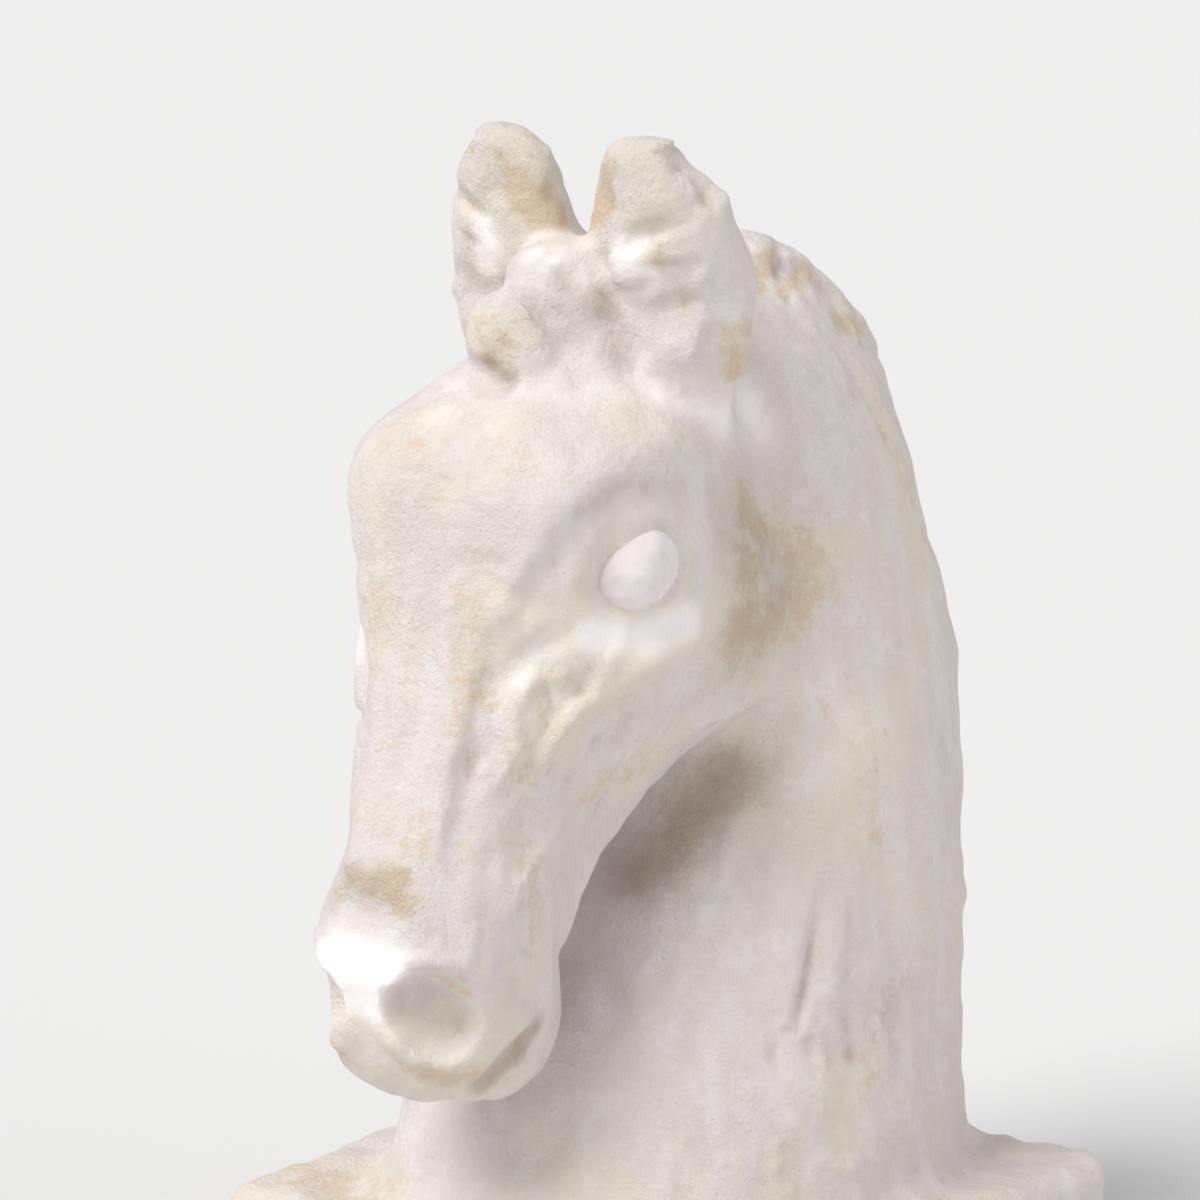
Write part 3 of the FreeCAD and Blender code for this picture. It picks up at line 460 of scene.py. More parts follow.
def bowl(knight, middle, outward, radius, depth):
    """Sink a round bowl with a crisp rim into both sides."""
    ball = (radius**2 + depth**2) / (2 * depth)
    for side in (1, -1):
        flip = np.array((side, 1, 1))
        rim = snap(knight, np.array([middle]) * flip + (0, 0, PLINTH_TOP))[0]
        centre = rim + np.array(outward) * flip * (ball - depth)
        window = window_of(centre - ball - 4, centre + ball + 4)
        dx, dy, dz = offsets(window, centre)
        inside = ball - np.sqrt(dx**2 + dy**2 + dz**2)
        knight[window] = -blend_union(-knight[window], -inside, 4)


def model_muzzle(knight):
    """The step across the nose, the nostrils, the mouth and the chin."""
    strokes(
        knight,
        ([(-26, -240, 198), (-4, -245, 194), (12, -245, 196), (26, -241, 188)], 5, 5, 1),
        ([(-24, -238, 216), (0, -240, 214), (20, -238, 212)], 7, -3.6, 1, 0.1),
        ([(-8, -252, 168), (8, -252, 166)], 15, -2.5, 1, 0),
    )
    bowl(knight, (34.5, -227, 138), (0.74, -0.66, 0.0), 18.0, 12.5)
    bowl(knight, (29, -233, 145), (0.72, -0.69, 0.0), 14.5, 9.0)
    strokes(
        knight,
        ([(32, -229, 116), (18, -241, 124), (12, -248, 140)], 6.0, -2.2),
        ([(14, -248, 158), (26, -244, 172), (38, -234, 173), (47, -220, 164)], 3.5, -4),
        ([(51, -193, 170), (50, -178, 146), (47, -160, 140)], 8, 3),
        ([(26, -205, 96), (36, -203, 103), (44, -193, 113), (47, -180, 122), (44, -166, 127)], 3.6, 11),
        ([(30, -214, 103), (40, -208, 112), (46, -198, 124)], 6, -2.5),
        ([(40, -182, 106), (40, -172, 112)], 7, -3),
        ([(34, -190, 94), (34, -178, 92), (30, -162, 97)], 11, 6),
        ([(14, -232, 104), (34, -216, 104)], 7, -2),
    )


def model_neck(knight):
    """The crease in the neck, its slow undulations and the pits."""
    strokes(
        knight,
        ([(104, 2, 182), (102, -5, 172), (103, -13, 160),
          (105, -22, 143), (107, -32, 123), (110, -44, 97)], 3.8, 7, 1, 0.2),
        ([(106, 6, 176), (110, -8, 142), (113, -26, 105)], 7, -3.2, 1),
        ([(108, -47, 101), (104, -55, 94)], 4, 3.5, 1),
    )
    for points, depth in (
        ([(63, -59, 168), (77, -79, 124), (84, -103, 69)], 3.0),
        ([(72, -21, 213), (90, -54, 141), (103, -79, 62)], 2.4),
        ([(95, 48, 254), (114, 32, 156), (124, 24, 55)], 2.6),
        ([(36, -90, 140), (48, -113, 96), (54, -129, 60)], 2.4),
        ([(86, -20, 190), (100, -50, 110)], -2.4),
        ([(60, 120, 300), (80, 150, 200), (84, 150, 80)], 2.6),
        ([(30, 175, 280), (40, 184, 180), (40, 170, 80)], -2.4),
    ):
        stroke(knight, points, 12, depth)
    for pit in ((119, 39, 114), (87, 25, 259), (125, 41, 15), (36, -236, 186), (-90, 40, 200)):
        stroke(knight, [pit], 2.6, 3, sides=1)


def model_mane(knight):
    """Strands that roll over the crest, then run down along the neck."""
    crest = (
        (-4, 500), (10, 494), (24, 496), (38, 484), (50, 488), (64, 474), (78, 474), (92, 458),
        (106, 455), (122, 438), (134, 430), (146, 408), (156, 396), (164, 372), (171, 352), (178, 326),
        (183, 302), (186, 276), (187, 252), (187, 228), (186, 204), (184, 180), (182, 156),
    )
    for count, (y, rise) in enumerate(crest):
        fade = min(1, (24 - count) / 9)  # shallower down the back
        depth = (5.5, -4.0)[count % 2] * (0.75 + 0.35 * math.sin(count * 2.3)) * fade
        reach = 28 + 7 * math.sin(count * 2.1)
        slant = 20 + 7 * math.sin(count * 1.3)
        low = (reach, y - slant, rise - 20 - 6 * math.sin(count * 1.7))
        middle = (reach * 0.55, y - slant * 0.4, rise - 6)
        stroke(knight, [low, middle, (5, y, rise)], (3.6, 5.0)[count % 2], depth)
    for start, width, depth in ((0, 4.5, 5.0), (7, 5.5, -3.2), (14, 4.0, 4.0), (21, 5.5, -2.4)):
        upper = [(34 + start, 50 + start, 448), (50 + start, 84 + start, 404)]
        lower = [(58 + start * 0.6, 106 + start, 358), (60 + start * 0.4, 126 + start, 310)]
        stroke(knight, upper + lower, width, depth)


def chip(knight, seed, count, low, high, run, width, depth):
    """Seeded knife marks on the surface inside a box, all running about the same way."""
    random = np.random.default_rng(seed)
    for _ in range(count):
        middle = random.uniform(low, high)
        way = (np.array(run) + random.normal(0, 0.22, 3)) * random.uniform(8, 22)
        amount = depth * random.uniform(-1, 1)
        reach = width * random.uniform(0.6, 1.4)
        stroke(knight, [middle - way, middle, middle + way], reach, amount, sides=1)


def roughen(knight, rough, calm):
    """Lumps and grain of hand-laid plaster, finest where it is rough."""
    still = 1 - 0.75 * np.clip(calm, 0, 1)
    knight += value_noise(46, 1) * 1.8
    knight += value_noise(21, 2) * 1.6 * still
    knight += value_noise(12, 3, (1, 1, 2)) * (1.0 + 0.5 * rough) * still
    knight += value_noise(7, 4) * (0.45 + 0.6 * rough) * still
    knight += value_noise(4.4, 5) * (0.14 + 0.6 * rough) * still


def model_knight():
    """All the modelling, in the order that a hand would do it."""
    knight, hollow, regions = knight_fields()
    model_head(knight)
    model_lids(knight)
    model_muzzle(knight)
    model_forelock(knight)
    model_mane(knight)
    model_neck(knight)
    # seed, number of marks, the box that they lie in, direction, width and greatest depth
    for marks in (
        (21, 46, (20, -235, 150), (90, -60, 316), (0.1, -0.35, -0.9), 4.6, 5.0),
        (22, 46, (-90, -235, 150), (-20, -60, 316), (-0.1, -0.35, -0.9), 4.6, 5.0),
        (23, 30, (-60, -210, 330), (60, -120, 430), (0.2, -0.5, -0.8), 7, 2.2),
        (24, 60, (-120, -100, 20), (120, 190, 330), (0, -0.2, 0.95), 7, 2.2),
        (25, 40, (-160, -160, -80), (160, 160, 0), (0.6, 0.6, 0.2), 8, 2.8),
        (28, 26, (90, -60, 20), (125, 40, 110), (0.2, -0.3, 0.9), 4, 3.4),
        (26, 70, (-85, -95, 440), (85, -40, 545), (0.3, 0.1, 0.7), 4.5, 3.4),
    ):
        chip(knight, *marks)
    return knight, hollow, regions


# ------------ eyes
EYE_MIDDLE = np.array((80.0, -129.0, 352.0))
EYE_BACK = np.array((0.297, 0.955, 0.0))
EYE_UP = np.array((0.0, 0.0, 1.0))
EYE_OUT = np.array((0.955, -0.297, 0.0))
# angle from the horse's rear, over the top, and radius: an almond pointed low at the front
EYE_OUTLINE = (
    (0, 23.5), (45, 22.0), (90, 19.0), (120, 17.5), (150, 19.0), (180, 23.5), (192, 25.0),
    (212, 23.5), (235, 21.5), (255, 20.0), (290, 19.5), (330, 21.8), (360, 23.5),
)


def eye_radius(angle):
    """Radius of the eye's rounded outline at an angle in degrees."""
    angles, radii = zip(*EYE_OUTLINE)
    return np.interp(np.mod(angle + np.linspace(-14, 14, 9), 360), angles, radii).mean()


def eye_point(angle, radius):
    """A point (x, y, rise) beside the eye's middle, at an angle from the horse's rear."""
    turn = math.radians(angle)
    return EYE_MIDDLE + radius * (math.cos(turn) * EYE_BACK + math.sin(turn) * EYE_UP)


def eye_path(first, last, extra):
    """Points round the eye, an extra distance outside its outline."""
    angles = np.linspace(first, last, max(3, int((last - first) / 18) + 1))
    return [eye_point(angle, eye_radius(angle) + extra) for angle in angles]


def model_lids(knight):
    """A narrow groove round each eye, and the raised rim over and behind it."""
    soften(knight, [EYE_MIDDLE, EYE_MIDDLE + (0, -12, 6)], 24, 14)
    stroke(knight, eye_path(-50, 150, 6.5), 3.2, -0.7)
    stroke(knight, eye_path(-80, 110, 1.5), 2.2, 1.8)
    stroke(knight, eye_path(165, 310, 3.0), 4.5, 1.6)


def eye_mesh(knight, side):
    """A low almond bead laid on the modelled socket."""
    rings = 22
    around = 72
    flip = np.array((side, 1.0, 1.0))
    points = []
    for ring in range(rings + 1):
        share = ring / rings
        for step in range(around):
            angle = 360.0 * step / around
            radius = eye_radius(angle) * math.sin(share * math.pi / 2)
            points.append(eye_point(angle, radius) * flip)
    points = np.array(points) + (0, 0, PLINTH_TOP)
    out = EYE_OUT * flip
    for _ in range(12):
        points = points - 0.8 * sample(knight, points)[:, None] * out
    share = np.repeat(np.arange(rings + 1) / rings, around)
    middle = points[:around].mean(axis=0)
    level = (points - middle) @ out
    settle = np.clip(1 - share**2, 0, 1) * 0.35
    points = points - (level * settle)[:, None] * out
    bulge, sink, depth = 6.2, 2.0, 5.0
    height = bulge * np.cos(share * math.pi / 2) ** 0.7 - sink
    front = points + height[:, None] * out
    back = points - depth * out
    count = len(points)
    quads = []
    for ring in range(rings):
        for step in range(around):
            after = (step + 1) % around
            a, b = ring * around + step, ring * around + after
            c, d = b + around, a + around
            quads.append((a, b, c, d))
            quads.append((a + count, d + count, c + count, b + count))
    for step in range(around):
        after = (step + 1) % around
        a, b = rings * around + step, rings * around + after
        quads.append((a, b, b + count, a + count))
    quads = np.array(quads)[:, ::-side]
    mesh = quad_mesh(np.vstack([front, back]), quads, "eye")
    merged = bmesh.new()
    merged.from_mesh(mesh)
    bmesh.ops.remove_doubles(merged, verts=merged.verts, dist=0.01 * MM)
    merged.to_mesh(mesh)
    merged.free()
    return mesh


# ------------ stains, painted shade and painted light
# patches of a mask: points, width, strength and, if it is on one side only, 1
ROUGH_AT = (
    ([(76, -45, 361), (80, -20, 325), (83, -50, 300)], 26, 1),
    ([(-14, -238, 207), (20, -241, 202)], 13, 1),
    ([(4, -137, 452), (14, -120, 470), (30, -98, 458)], 12, 0.8, 1),
    ([(47, -88, 530), (60, -80, 480)], 24, 0.9),
    ([(0, -200, 338), (-10, -192, 390)], 26, 0.35, 1),
)
OCHRE_AT = (
    ([(75, -38, 366), (76, -8, 345)], 17, 0.8),
    ([(84, -62, 310), (76, -5, 308), (76, 12, 330)], 24, 0.8),
    ([(83, -46, 335)], 24, 0.8),
    ([(-14, -238, 208), (5, -238, 206), (22, -241, 200)], 9, 0.95),
    ([(18, -246, 154), (25, -241, 161), (36, -229, 161), (44, -221, 154)], 4, 1.3),
    ([(18, -240, 112), (40, -212, 112)], 10, 0.7),
    ([(-40, -176, 405), (-24, -190, 395), (0, -192, 388)], 22, 0.4),
    ([(10, -190, 398), (24, -172, 416)], 20, 0.35),
    ([(-28, -200, 340), (-30, -206, 290)], 18, 0.5),
    ([(4, -205, 330), (10, -214, 270)], 20, 0.3),
    ([(0, -232, 236), (20, -226, 232)], 18, 0.45),
    ([(30, -84, 538), (26, -88, 516)], 9, 1.2),
    ([(36, -90, 540)], 5, 1),
    ([(60, -86, 500), (56, -88, 494)], 6, 0.9),
    ([(70, -66, 478), (74, -58, 462)], 7, 0.6),
    ([(46, -86, 512), (66, -74, 511)], 8, 1.1),
    ([(50, -86, 534)], 6, 1.2),
    ([(76, -56, 456), (72, -50, 440)], 11, 1.3),
    ([(-12, -80, 507), (-22, -85, 516)], 10, 1.4),
    ([(-60, -72, 500), (-62, -70, 470)], 12, 0.6),
    ([(30, 32, 460), (17, 60, 471)], 7, 1),
    ([(30, 48, 452), (17, 88, 458)], 7, 1),
    ([(36, 90, 436), (20, 135, 424)], 9, 0.8),
    ([(58, 96, 392), (64, 116, 350), (60, 130, 310)], 14, 0.45),
    ([(-11, -136, 462), (4, -140, 450)], 10, 0.7),
    ([(64, -120, 240), (76, -84, 262)], 16, 0.4),
    ([(102, 34, 240), (116, 30, 160)], 22, 0.35),
    ([(120, 30, 100), (110, -30, 60)], 30, 0.3),
    ([(-150, -120, -2), (-60, -150, 0), (-165, -150, -40)], 26, 0.55),
    ([(150, 0, 0), (160, 60, -8)], 26, 0.5),
    ([(50, -180, 210), (48, -170, 180)], 16, 0.45),
    ([(66, -160, 300), (50, -190, 260), (46, -196, 210)], 30, 0.3),
    ([(70, -120, 420), (60, -80, 400)], 24, 0.3),
    ([(56, -104, 250), (60, -140, 240)], 16, 0.5),
)
# painted shade in creases, hollows and under the jaw, and the brown stain on the cheek
SHADE_AND_SOOT_AT = (
    # painted shade under the jaw, where the head shades the neck
    ([(28, -66, 178), (40, -52, 190), (48, -36, 212), (58, -26, 224)], 22, 1.15),
    ([(26, -76, 162), (26, -96, 132)], 20, 0.35),
    # painted shade beside and under the forelock's lobes
    ([(28, -96, 472), (35, -90, 458), (36, -98, 446)], 10, 1.1),
    ([(-8, -146, 443), (8, -142, 441)], 8, 1.1),
    # the brown stain on the cheek
    ([(81, -69, 365), (85, -65, 345), (80, -30, 330)], 20, 0.5),
    ([(84, -50, 318), (78, 0, 322)], 16, 0.4),
    # painted shade in the crease of the chin
    ([(44, -168, 126), (44, -190, 112), (36, -200, 102)], 9, 1.1),
    # painted shade in the crease under the brow
    ([(70, -163, 384), (76, -139, 394), (80, -99, 388)], 10, 0.5),
    # painted shade inside the nostril
    ([(29, -233, 148)], 13, 1.2),
    # painted shade in the forelock's grooves
    ([(25, -102, 474), (30, -95, 466), (32, -94, 454)], 10, 0.8),
    ([(12, -112, 484), (20, -106, 474)], 9, 0.5),
    # painted shade in the crease of the neck
    ([(103, -13, 160), (107, -32, 123), (109, -40, 104)], 3, 0.9),
)
# thick limewash, and painted light on a few shaded spots
LIMEWASH_AND_LIGHT_AT = (
    ([(72, -158, 324), (80, -131, 318), (87, -104, 322)], 13, 0.8),
    ([(62, -172, 324), (50, -186, 305)], 11, 0.5),
    ([(-12, -250, 168), (12, -250, 168)], 17, 1),
    ([(-8, -250, 150), (8, -250, 148)], 12, 0.8),
    ([(-18, -169, 421), (-2, -151, 430), (28, -140, 432), (52, -112, 430)], 13, 0.3),
    # painted light that brightens the shaded temple
    ([(60, -70, 425), (70, -50, 412)], 18, 0.6),
    # painted light on a shaded spot of the temple
    ([(57, -20, 414), (61, -9, 398)], 14, 0.5),
    # painted light in the shaded hollow at the front of the ear
    ([(44, -84, 492), (47, -80, 508), (60, -72, 502)], 15, 0.9),
    ([(0, -85, 480), (10, -84, 486)], 14, 1),
    ([(40, -88, 444), (56, -92, 428)], 16, 0.5),
    ([(86, 12, 262), (94, 28, 240), (90, 0, 225)], 22, 0.35),
    ([(90, -20, 160), (100, -50, 90)], 20, 0.35),
    ([(40, -222, 127)], 7, 0.7),
    ([(5, -106, 494)], 9, 0.6),
)


def paint_masks():
    """Where the plaster is rough, stained ochre, sooty or painted with shade, or thickly whitewashed or
    painted with light.
    """
    patches = {"rough": ROUGH_AT, "ochre": OCHRE_AT, "shade_and_soot": SHADE_AND_SOOT_AT, "white": LIMEWASH_AND_LIGHT_AT}
    masks = {name: np.zeros(GRID_COUNT, np.float32) for name in patches}
    for name, mask in masks.items():
        for patch in patches[name]:
            paint(mask, *patch)
    return masks


# ------------ meshes
def quad_mesh(points, quads, name):
    """A mesh from arrays of points in millimetres and quads."""
    mesh = bpy.data.meshes.new(name)
    mesh.vertices.add(len(points))
    mesh.vertices.foreach_set("co", (points * MM).astype(np.float32).ravel())
    mesh.loops.add(quads.size)
    mesh.loops.foreach_set("vertex_index", quads.astype(np.int32).ravel())
    mesh.polygons.add(len(quads))
    mesh.polygons.foreach_set("loop_start", np.arange(0, quads.size, 4, dtype=np.int32))
    mesh.update(calc_edges=True)
    return mesh


def field_mesh(field, stride=1):
    """A mesh on the surface of a field."""
    return quad_mesh(*surface_of(field, stride), "field")


def box_mesh(low, high):
    """A box between two corners in millimetres."""
    ends = (low, high)
    corners = [(ends[x][0], ends[y][1], ends[z][2]) for x in (0, 1) for y in (0, 1) for z in (0, 1)]
    sides = [(0, 1, 3, 2), (4, 6, 7, 5), (0, 4, 5, 1), (2, 3, 7, 6), (0, 2, 6, 4), (1, 5, 7, 3)]
    return quad_mesh(np.array(corners, float), np.array(sides), "box")


def rod_mesh(radius, start, end, rise):
    """A round rod along Y on the middle plane, as a closed mesh of quads and two end faces."""
    sides = 96
    turn = np.arange(sides) * 2 * math.pi / sides
    ring = np.column_stack([radius * np.sin(turn), np.zeros(sides), rise + radius * np.cos(turn)])
    points = np.vstack([ring + (0, start, 0), ring + (0, end, 0)])
    mesh = bpy.data.meshes.new("rod")
    around = [(i, (i + 1) % sides) for i in range(sides)]
    faces = [(a, b, b + sides, a + sides) for a, b in around]
    faces += [tuple(range(sides))[::-1], tuple(range(sides, 2 * sides))]
    mesh.from_pydata((points * MM).tolist(), [], faces)
    return mesh


def link(name, data):
    """A new object in the scene."""
    made = bpy.data.objects.new(name, data)
    bpy.context.scene.collection.objects.link(made)
    return made


def combined(mesh, operation, other):
    """A boolean of two closed meshes."""
    first = link("first", mesh)
    second = link("second", other)
    modifier = first.modifiers.new("boolean", "BOOLEAN")
    modifier.operation = operation
    modifier.solver = "MANIFOLD"
    modifier.object = second
    result = bpy.data.meshes.new_from_object(first.evaluated_get(bpy.context.evaluated_depsgraph_get()))
    bpy.data.objects.remove(first)
    bpy.data.objects.remove(second)
    return result


def split(mesh, cutter):
    """The parts of a mesh inside and outside a cutter."""
    return combined(mesh, "INTERSECT", cutter), combined(mesh, "DIFFERENCE", cutter)


def without_crumbs(mesh):
    """Drop the tiny loose bits that cutting along a rough surface leaves."""
    work = bmesh.new()
    work.from_mesh(mesh)
    waiting = set(work.verts)
    crumbs = []
    while waiting:
        island = [waiting.pop()]
        for vert in island:
            for edge in vert.link_edges:
                other = edge.other_vert(vert)
                if other in waiting:
                    waiting.remove(other)
                    island.append(other)
        if len(island) < CRUMB:
            crumbs += island
    bmesh.ops.delete(work, geom=crumbs, context="VERTS")
    work.to_mesh(mesh)
    work.free()
    return mesh


def knight_pieces(knight, hollow, regions):
    """Meshes of the shells, ears, forelock, mane and plinth, cut from one modelled surface."""
    whole = field_mesh(knight)
    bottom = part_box("plinth")[0].z / MM
    seam = PLINTH_TOP + SEAM_RISE
    plinth = combined(whole, "INTERSECT", box_mesh((-WIDE, -WIDE, bottom), (WIDE, WIDE, seam)))
    rest = combined(whole, "INTERSECT", box_mesh((-WIDE, -WIDE, seam), (WIDE, WIDE, 2 * WIDE)))
    left = box_mesh((0, -WIDE, -WIDE), (WIDE, WIDE, 2 * WIDE))
    pieces = {"plinth": hollow_plinth(plinth)}
    ears, rest = split(rest, field_mesh(regions["ears"]))
    pieces["forelock"], rest = split(rest, field_mesh(regions["forelock"]))
    pieces["mane"], rest = split(rest, field_mesh(regions["mane"]))
    rest = combined(rest, "DIFFERENCE", field_mesh(np.maximum(hollow, knight + WALL), HIDDEN_STRIDE))
    pieces["left_ear"], pieces["right_ear"] = split(ears, left)
    pieces["left_shell"], pieces["right_shell"] = split(rest, left)
    return {name: without_crumbs(mesh) for name, mesh in pieces.items()}


def hollow_plinth(plinth):
    """The plinth with its open inside, the post's hole and the stepped hole of the filler plug."""
    gap = 1.0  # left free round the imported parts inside
    flange = 2.4  # thickness of the socket's flange
    lip = 5.0  # width of the ledge that it lies on
    inner, outer = 140, 200  # the holes reach from inside the wall to beyond the rear face
    sand = np.array(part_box("sand_ballast")) / MM
    post = np.array(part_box("armature_post")) / MM
    socket = np.array(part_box("plug_socket")) / MM
    washers = np.array(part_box("neck_washers")) / MM
    rise = (socket[0, 2] + socket[1, 2]) / 2
    wide = (socket[1, 0] - socket[0, 0]) / 2
    for cutter in (
        box_mesh((*sand[0, :2] - gap, -WIDE), (*sand[1, :2] + gap, washers[0, 2])),
        box_mesh((*post[0, :2] - gap, 0), (*post[1, :2] + gap, WIDE)),
        rod_mesh(wide + gap, socket[1, 1] - flange, outer, rise),
        rod_mesh(wide - lip, inner, outer, rise),
    ):
        plinth = combined(plinth, "DIFFERENCE", cutter)
    return plinth


def add_piece(name, mesh, replaced, body="knight"):
    """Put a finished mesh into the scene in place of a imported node."""
    piece = link(name, mesh)
    mesh.shade_smooth()
    mesh.set_sharp_from_angle(angle=math.radians(50))
    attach(piece, body)
    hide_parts(replaced)


def record_masks(mesh, masks):
    """Write the values of mask fields onto the points of a mesh."""
    points = np.empty(len(mesh.vertices) * 3, np.float32)
    mesh.vertices.foreach_get("co", points)
    points = points.reshape(-1, 3) / MM
    for name, field in masks.items():
        layer = mesh.attributes.new(name, "FLOAT", "POINT")
        layer.data.foreach_set("value", sample(field, points))


# ------------ materials
class Look:
    """A node material under construction."""

    def __init__(self, name):
        self.material = bpy.data.materials.new(name)
        self.material.use_nodes = True
        self.tree = self.material.node_tree
        self.shader = self.tree.nodes["Principled BSDF"]
        self.place = self.add("ShaderNodeTexCoord").outputs["Object"]

    def add(self, kind, inputs=(), **settings):
        """A node with its settings, and its inputs given as numbers, colours or sockets."""
        node = self.tree.nodes.new(kind)
        for key, value in settings.items():
            setattr(node, key, value)
        for key, value in dict(inputs).items():
            self.feed(node.inputs[key], value)
        return node

    def feed(self, socket, value):
        """Set a socket, or link it."""
        if isinstance(value, bpy.types.NodeSocket):
            self.tree.links.new(value, socket)
        else:
            socket.default_value = value

    def noise(self, scale, detail=4.0, roughness=0.6, stretch=None):
        """Noise about 0.5, a number of features to the metre."""
        place = self.place
        if stretch:
            place = self.add("ShaderNodeMapping", {"Vector": place, "Scale": stretch}).outputs[0]
        inputs = {"Vector": place, "Scale": scale, "Detail": detail, "Roughness": roughness}
        return self.add("ShaderNodeTexNoise", inputs).outputs["Fac"]

    def cells(self, scale):
        """Distance to the nearest of scattered points."""
        inputs = {"Vector": self.place, "Scale": scale}
        return self.add("ShaderNodeTexVoronoi", inputs).outputs["Distance"]

    def mask(self, name):
        """A mask written on the mesh."""
        return self.add("ShaderNodeAttribute", attribute_name=name).outputs["Fac"]

    def math(self, operation, first, second):
        """Arithmetic on numbers or sockets."""
        return self.add("ShaderNodeMath", {0: first, 1: second}, operation=operation).outputs[0]

    def plus(self, first, second):
        """Sum of numbers or sockets."""
        return self.math("ADD", first, second)

    def times(self, first, second):
        """Product of numbers or sockets."""
        return self.math("MULTIPLY", first, second)

    def ramp(self, value, low, high, bottom=0.0, top=1.0):
        """A value eased from bottom to top between two limits."""
        inputs = {"Value": value, "From Min": low, "From Max": high, "To Min": bottom, "To Max": top}
        return self.add("ShaderNodeMapRange", inputs, interpolation_type="SMOOTHSTEP").outputs[0]

    def mix(self, amount, first, second):
        """A mix of two colours, each given as a socket or as red, green and blue."""
        node = self.add("ShaderNodeMix", data_type="RGBA")
        self.feed(node.inputs[0], amount)
        for index, value in ((6, first), (7, second)):
            flat = not isinstance(value, bpy.types.NodeSocket)
            self.feed(node.inputs[index], (*value, 1) if flat else value)
        return node.outputs[2]

    def finish(self, colour, roughness, height=None, depth=0.001, **constants):
        """Wire the shader: colour, roughness, bump height in units of depth, and plain numbers."""
        self.feed(self.shader.inputs["Base Color"], colour)
        self.feed(self.shader.inputs["Roughness"], roughness)
        if height is not None:
            bump = self.add("ShaderNodeBump", {"Height": height, "Distance": depth})
            self.feed(self.shader.inputs["Normal"], bump.outputs[0])
        for name, value in constants.items():
            self.shader.inputs[name.replace("_", " ")].default_value = value
        return self.material


PINK = (0.84, 0.765, 0.755)
CREAM = (0.88, 0.81, 0.715)
CHALK = (0.91, 0.875, 0.87)
OCHRE = (0.78, 0.625, 0.47)
STRAW = (0.83, 0.68, 0.44)
UMBER = (0.50, 0.375, 0.27)
# tint of the painted shade and of the sooty patches
SHADE_AND_SOOT_TINT = (0.50, 0.395, 0.325)
LIME = (0.94, 0.915, 0.925)


def whitewash(name):
    """Limewashed plaster: pinkish white and cream, speckled ochre stains and sooty patches, with
    painted shade in the creases and hollows and painted light on a few shaded spots.
    """
    look = Look(name)
    broad = look.noise(8.0, 4.0, 0.55)
    patch = look.noise(34.0, 8.0, 0.68)
    speckle = look.noise(120.0, 8.0, 0.78)
    fine = look.noise(210.0, 6.0, 0.7)
    grain = look.noise(1100.0, 3.0, 0.7)
    streak = look.noise(1.0, 6.0, 0.65, (55.0, 55.0, 9.0))
    crease = look.mask("crease")
    ochre = look.mask("ochre")
    white = look.mask("white")
    rough = look.mask("rough")
    warm = look.plus(look.ramp(broad, 0.42, 0.62), look.times(ochre, 1.6))
    colour = look.mix(look.ramp(warm, 0.15, 1.3), PINK, CREAM)
    colour = look.mix(look.ramp(streak, 0.46, 0.68, 0.0, 0.6), colour, CHALK)
    colour = look.mix(look.ramp(patch, 0.50, 0.66, 0.0, 0.5), colour, LIME)
    mottle = look.plus(look.times(patch, 0.55), look.times(speckle, 0.75))
    stain = look.plus(look.times(ochre, 0.42), mottle)
    colour = look.mix(look.ramp(stain, 0.74, 1.02, 0.0, 0.9), colour, OCHRE)
    fleck = look.plus(look.times(speckle, 0.7), look.times(patch, 0.3))
    fleck = look.ramp(fleck, 0.52, 0.68, 0.0, 0.75)
    share = look.plus(look.times(ochre, 0.9), 0.22)
    colour = look.mix(look.times(fleck, share), colour, STRAW)
    # painted shade: creases darkened towards umber by how hollow the surface is, with random specks of
    # grit
    crease_shade_and_grit = look.plus(look.times(crease, 0.13), look.times(speckle, 0.5))
    colour = look.mix(look.ramp(crease_shade_and_grit, 0.36, 0.75, 0.0, 0.6), colour, UMBER)
    # painted shade under the jaw, in creases, the nostrils and the forelock, and sooty patches at
    # random
    shade_and_soot_amount = look.plus(look.times(look.mask("shade_and_soot"), 0.55), look.times(mottle, 0.6))
    colour = look.mix(look.ramp(shade_and_soot_amount, 0.48, 1.15, 0.0, 0.9), colour, SHADE_AND_SOOT_TINT)
    # thick limewash, and painted light on a few shaded spots
    lime_and_painted_light = look.plus(white, look.times(look.math("SUBTRACT", patch, 0.5), 0.9))
    colour = look.mix(look.ramp(lime_and_painted_light, 0.22, 0.85, 0.0, 0.9), colour, LIME)
    dots = look.ramp(look.cells(420.0), 0.12, 0.22, 1.0, 0.0)
    spots = look.times(dots, look.ramp(stain, 0.80, 1.1))
    colour = look.mix(look.times(spots, 0.6), colour, UMBER)
    tone = look.plus(look.times(fine, 0.6), look.times(grain, 0.4))
    colour = look.mix(look.ramp(tone, 0.48, 0.30, 0.0, 0.32), colour, OCHRE)
    bare = look.ramp(white, 0.0, 0.8, 1.0, 0.2)
    coarse = look.plus(look.times(rough, 0.5), 0.8)
    pits = look.ramp(look.cells(230.0), 0.05, 0.30, -0.6, 0.0)
    relief = look.plus(look.times(fine, 1.6), look.times(grain, 0.4))
    relief = look.plus(relief, look.times(pits, look.times(coarse, 0.3)))
    height = look.times(relief, look.times(bare, coarse))
    roughness = look.ramp(white, 0.1, 0.9, 0.88, 0.6)
    return look.finish(colour, roughness, height, 0.0021, Specular_IOR_Level=0.35)


def smooth_whitewash(name):
    """Polished limewash of the eyes, with faint pink clouds."""
    look = Look(name)
    cloud = look.noise(60.0, 4.0)
    fine = look.noise(500.0, 3.0)
    colour = look.mix(look.ramp(cloud, 0.4, 0.65), (0.74, 0.685, 0.69), (0.80, 0.755, 0.76))
    roughness = look.ramp(cloud, 0.3, 0.7, 0.5, 0.65)
    return look.finish(colour, roughness, fine, 0.0003, Specular_IOR_Level=0.4)


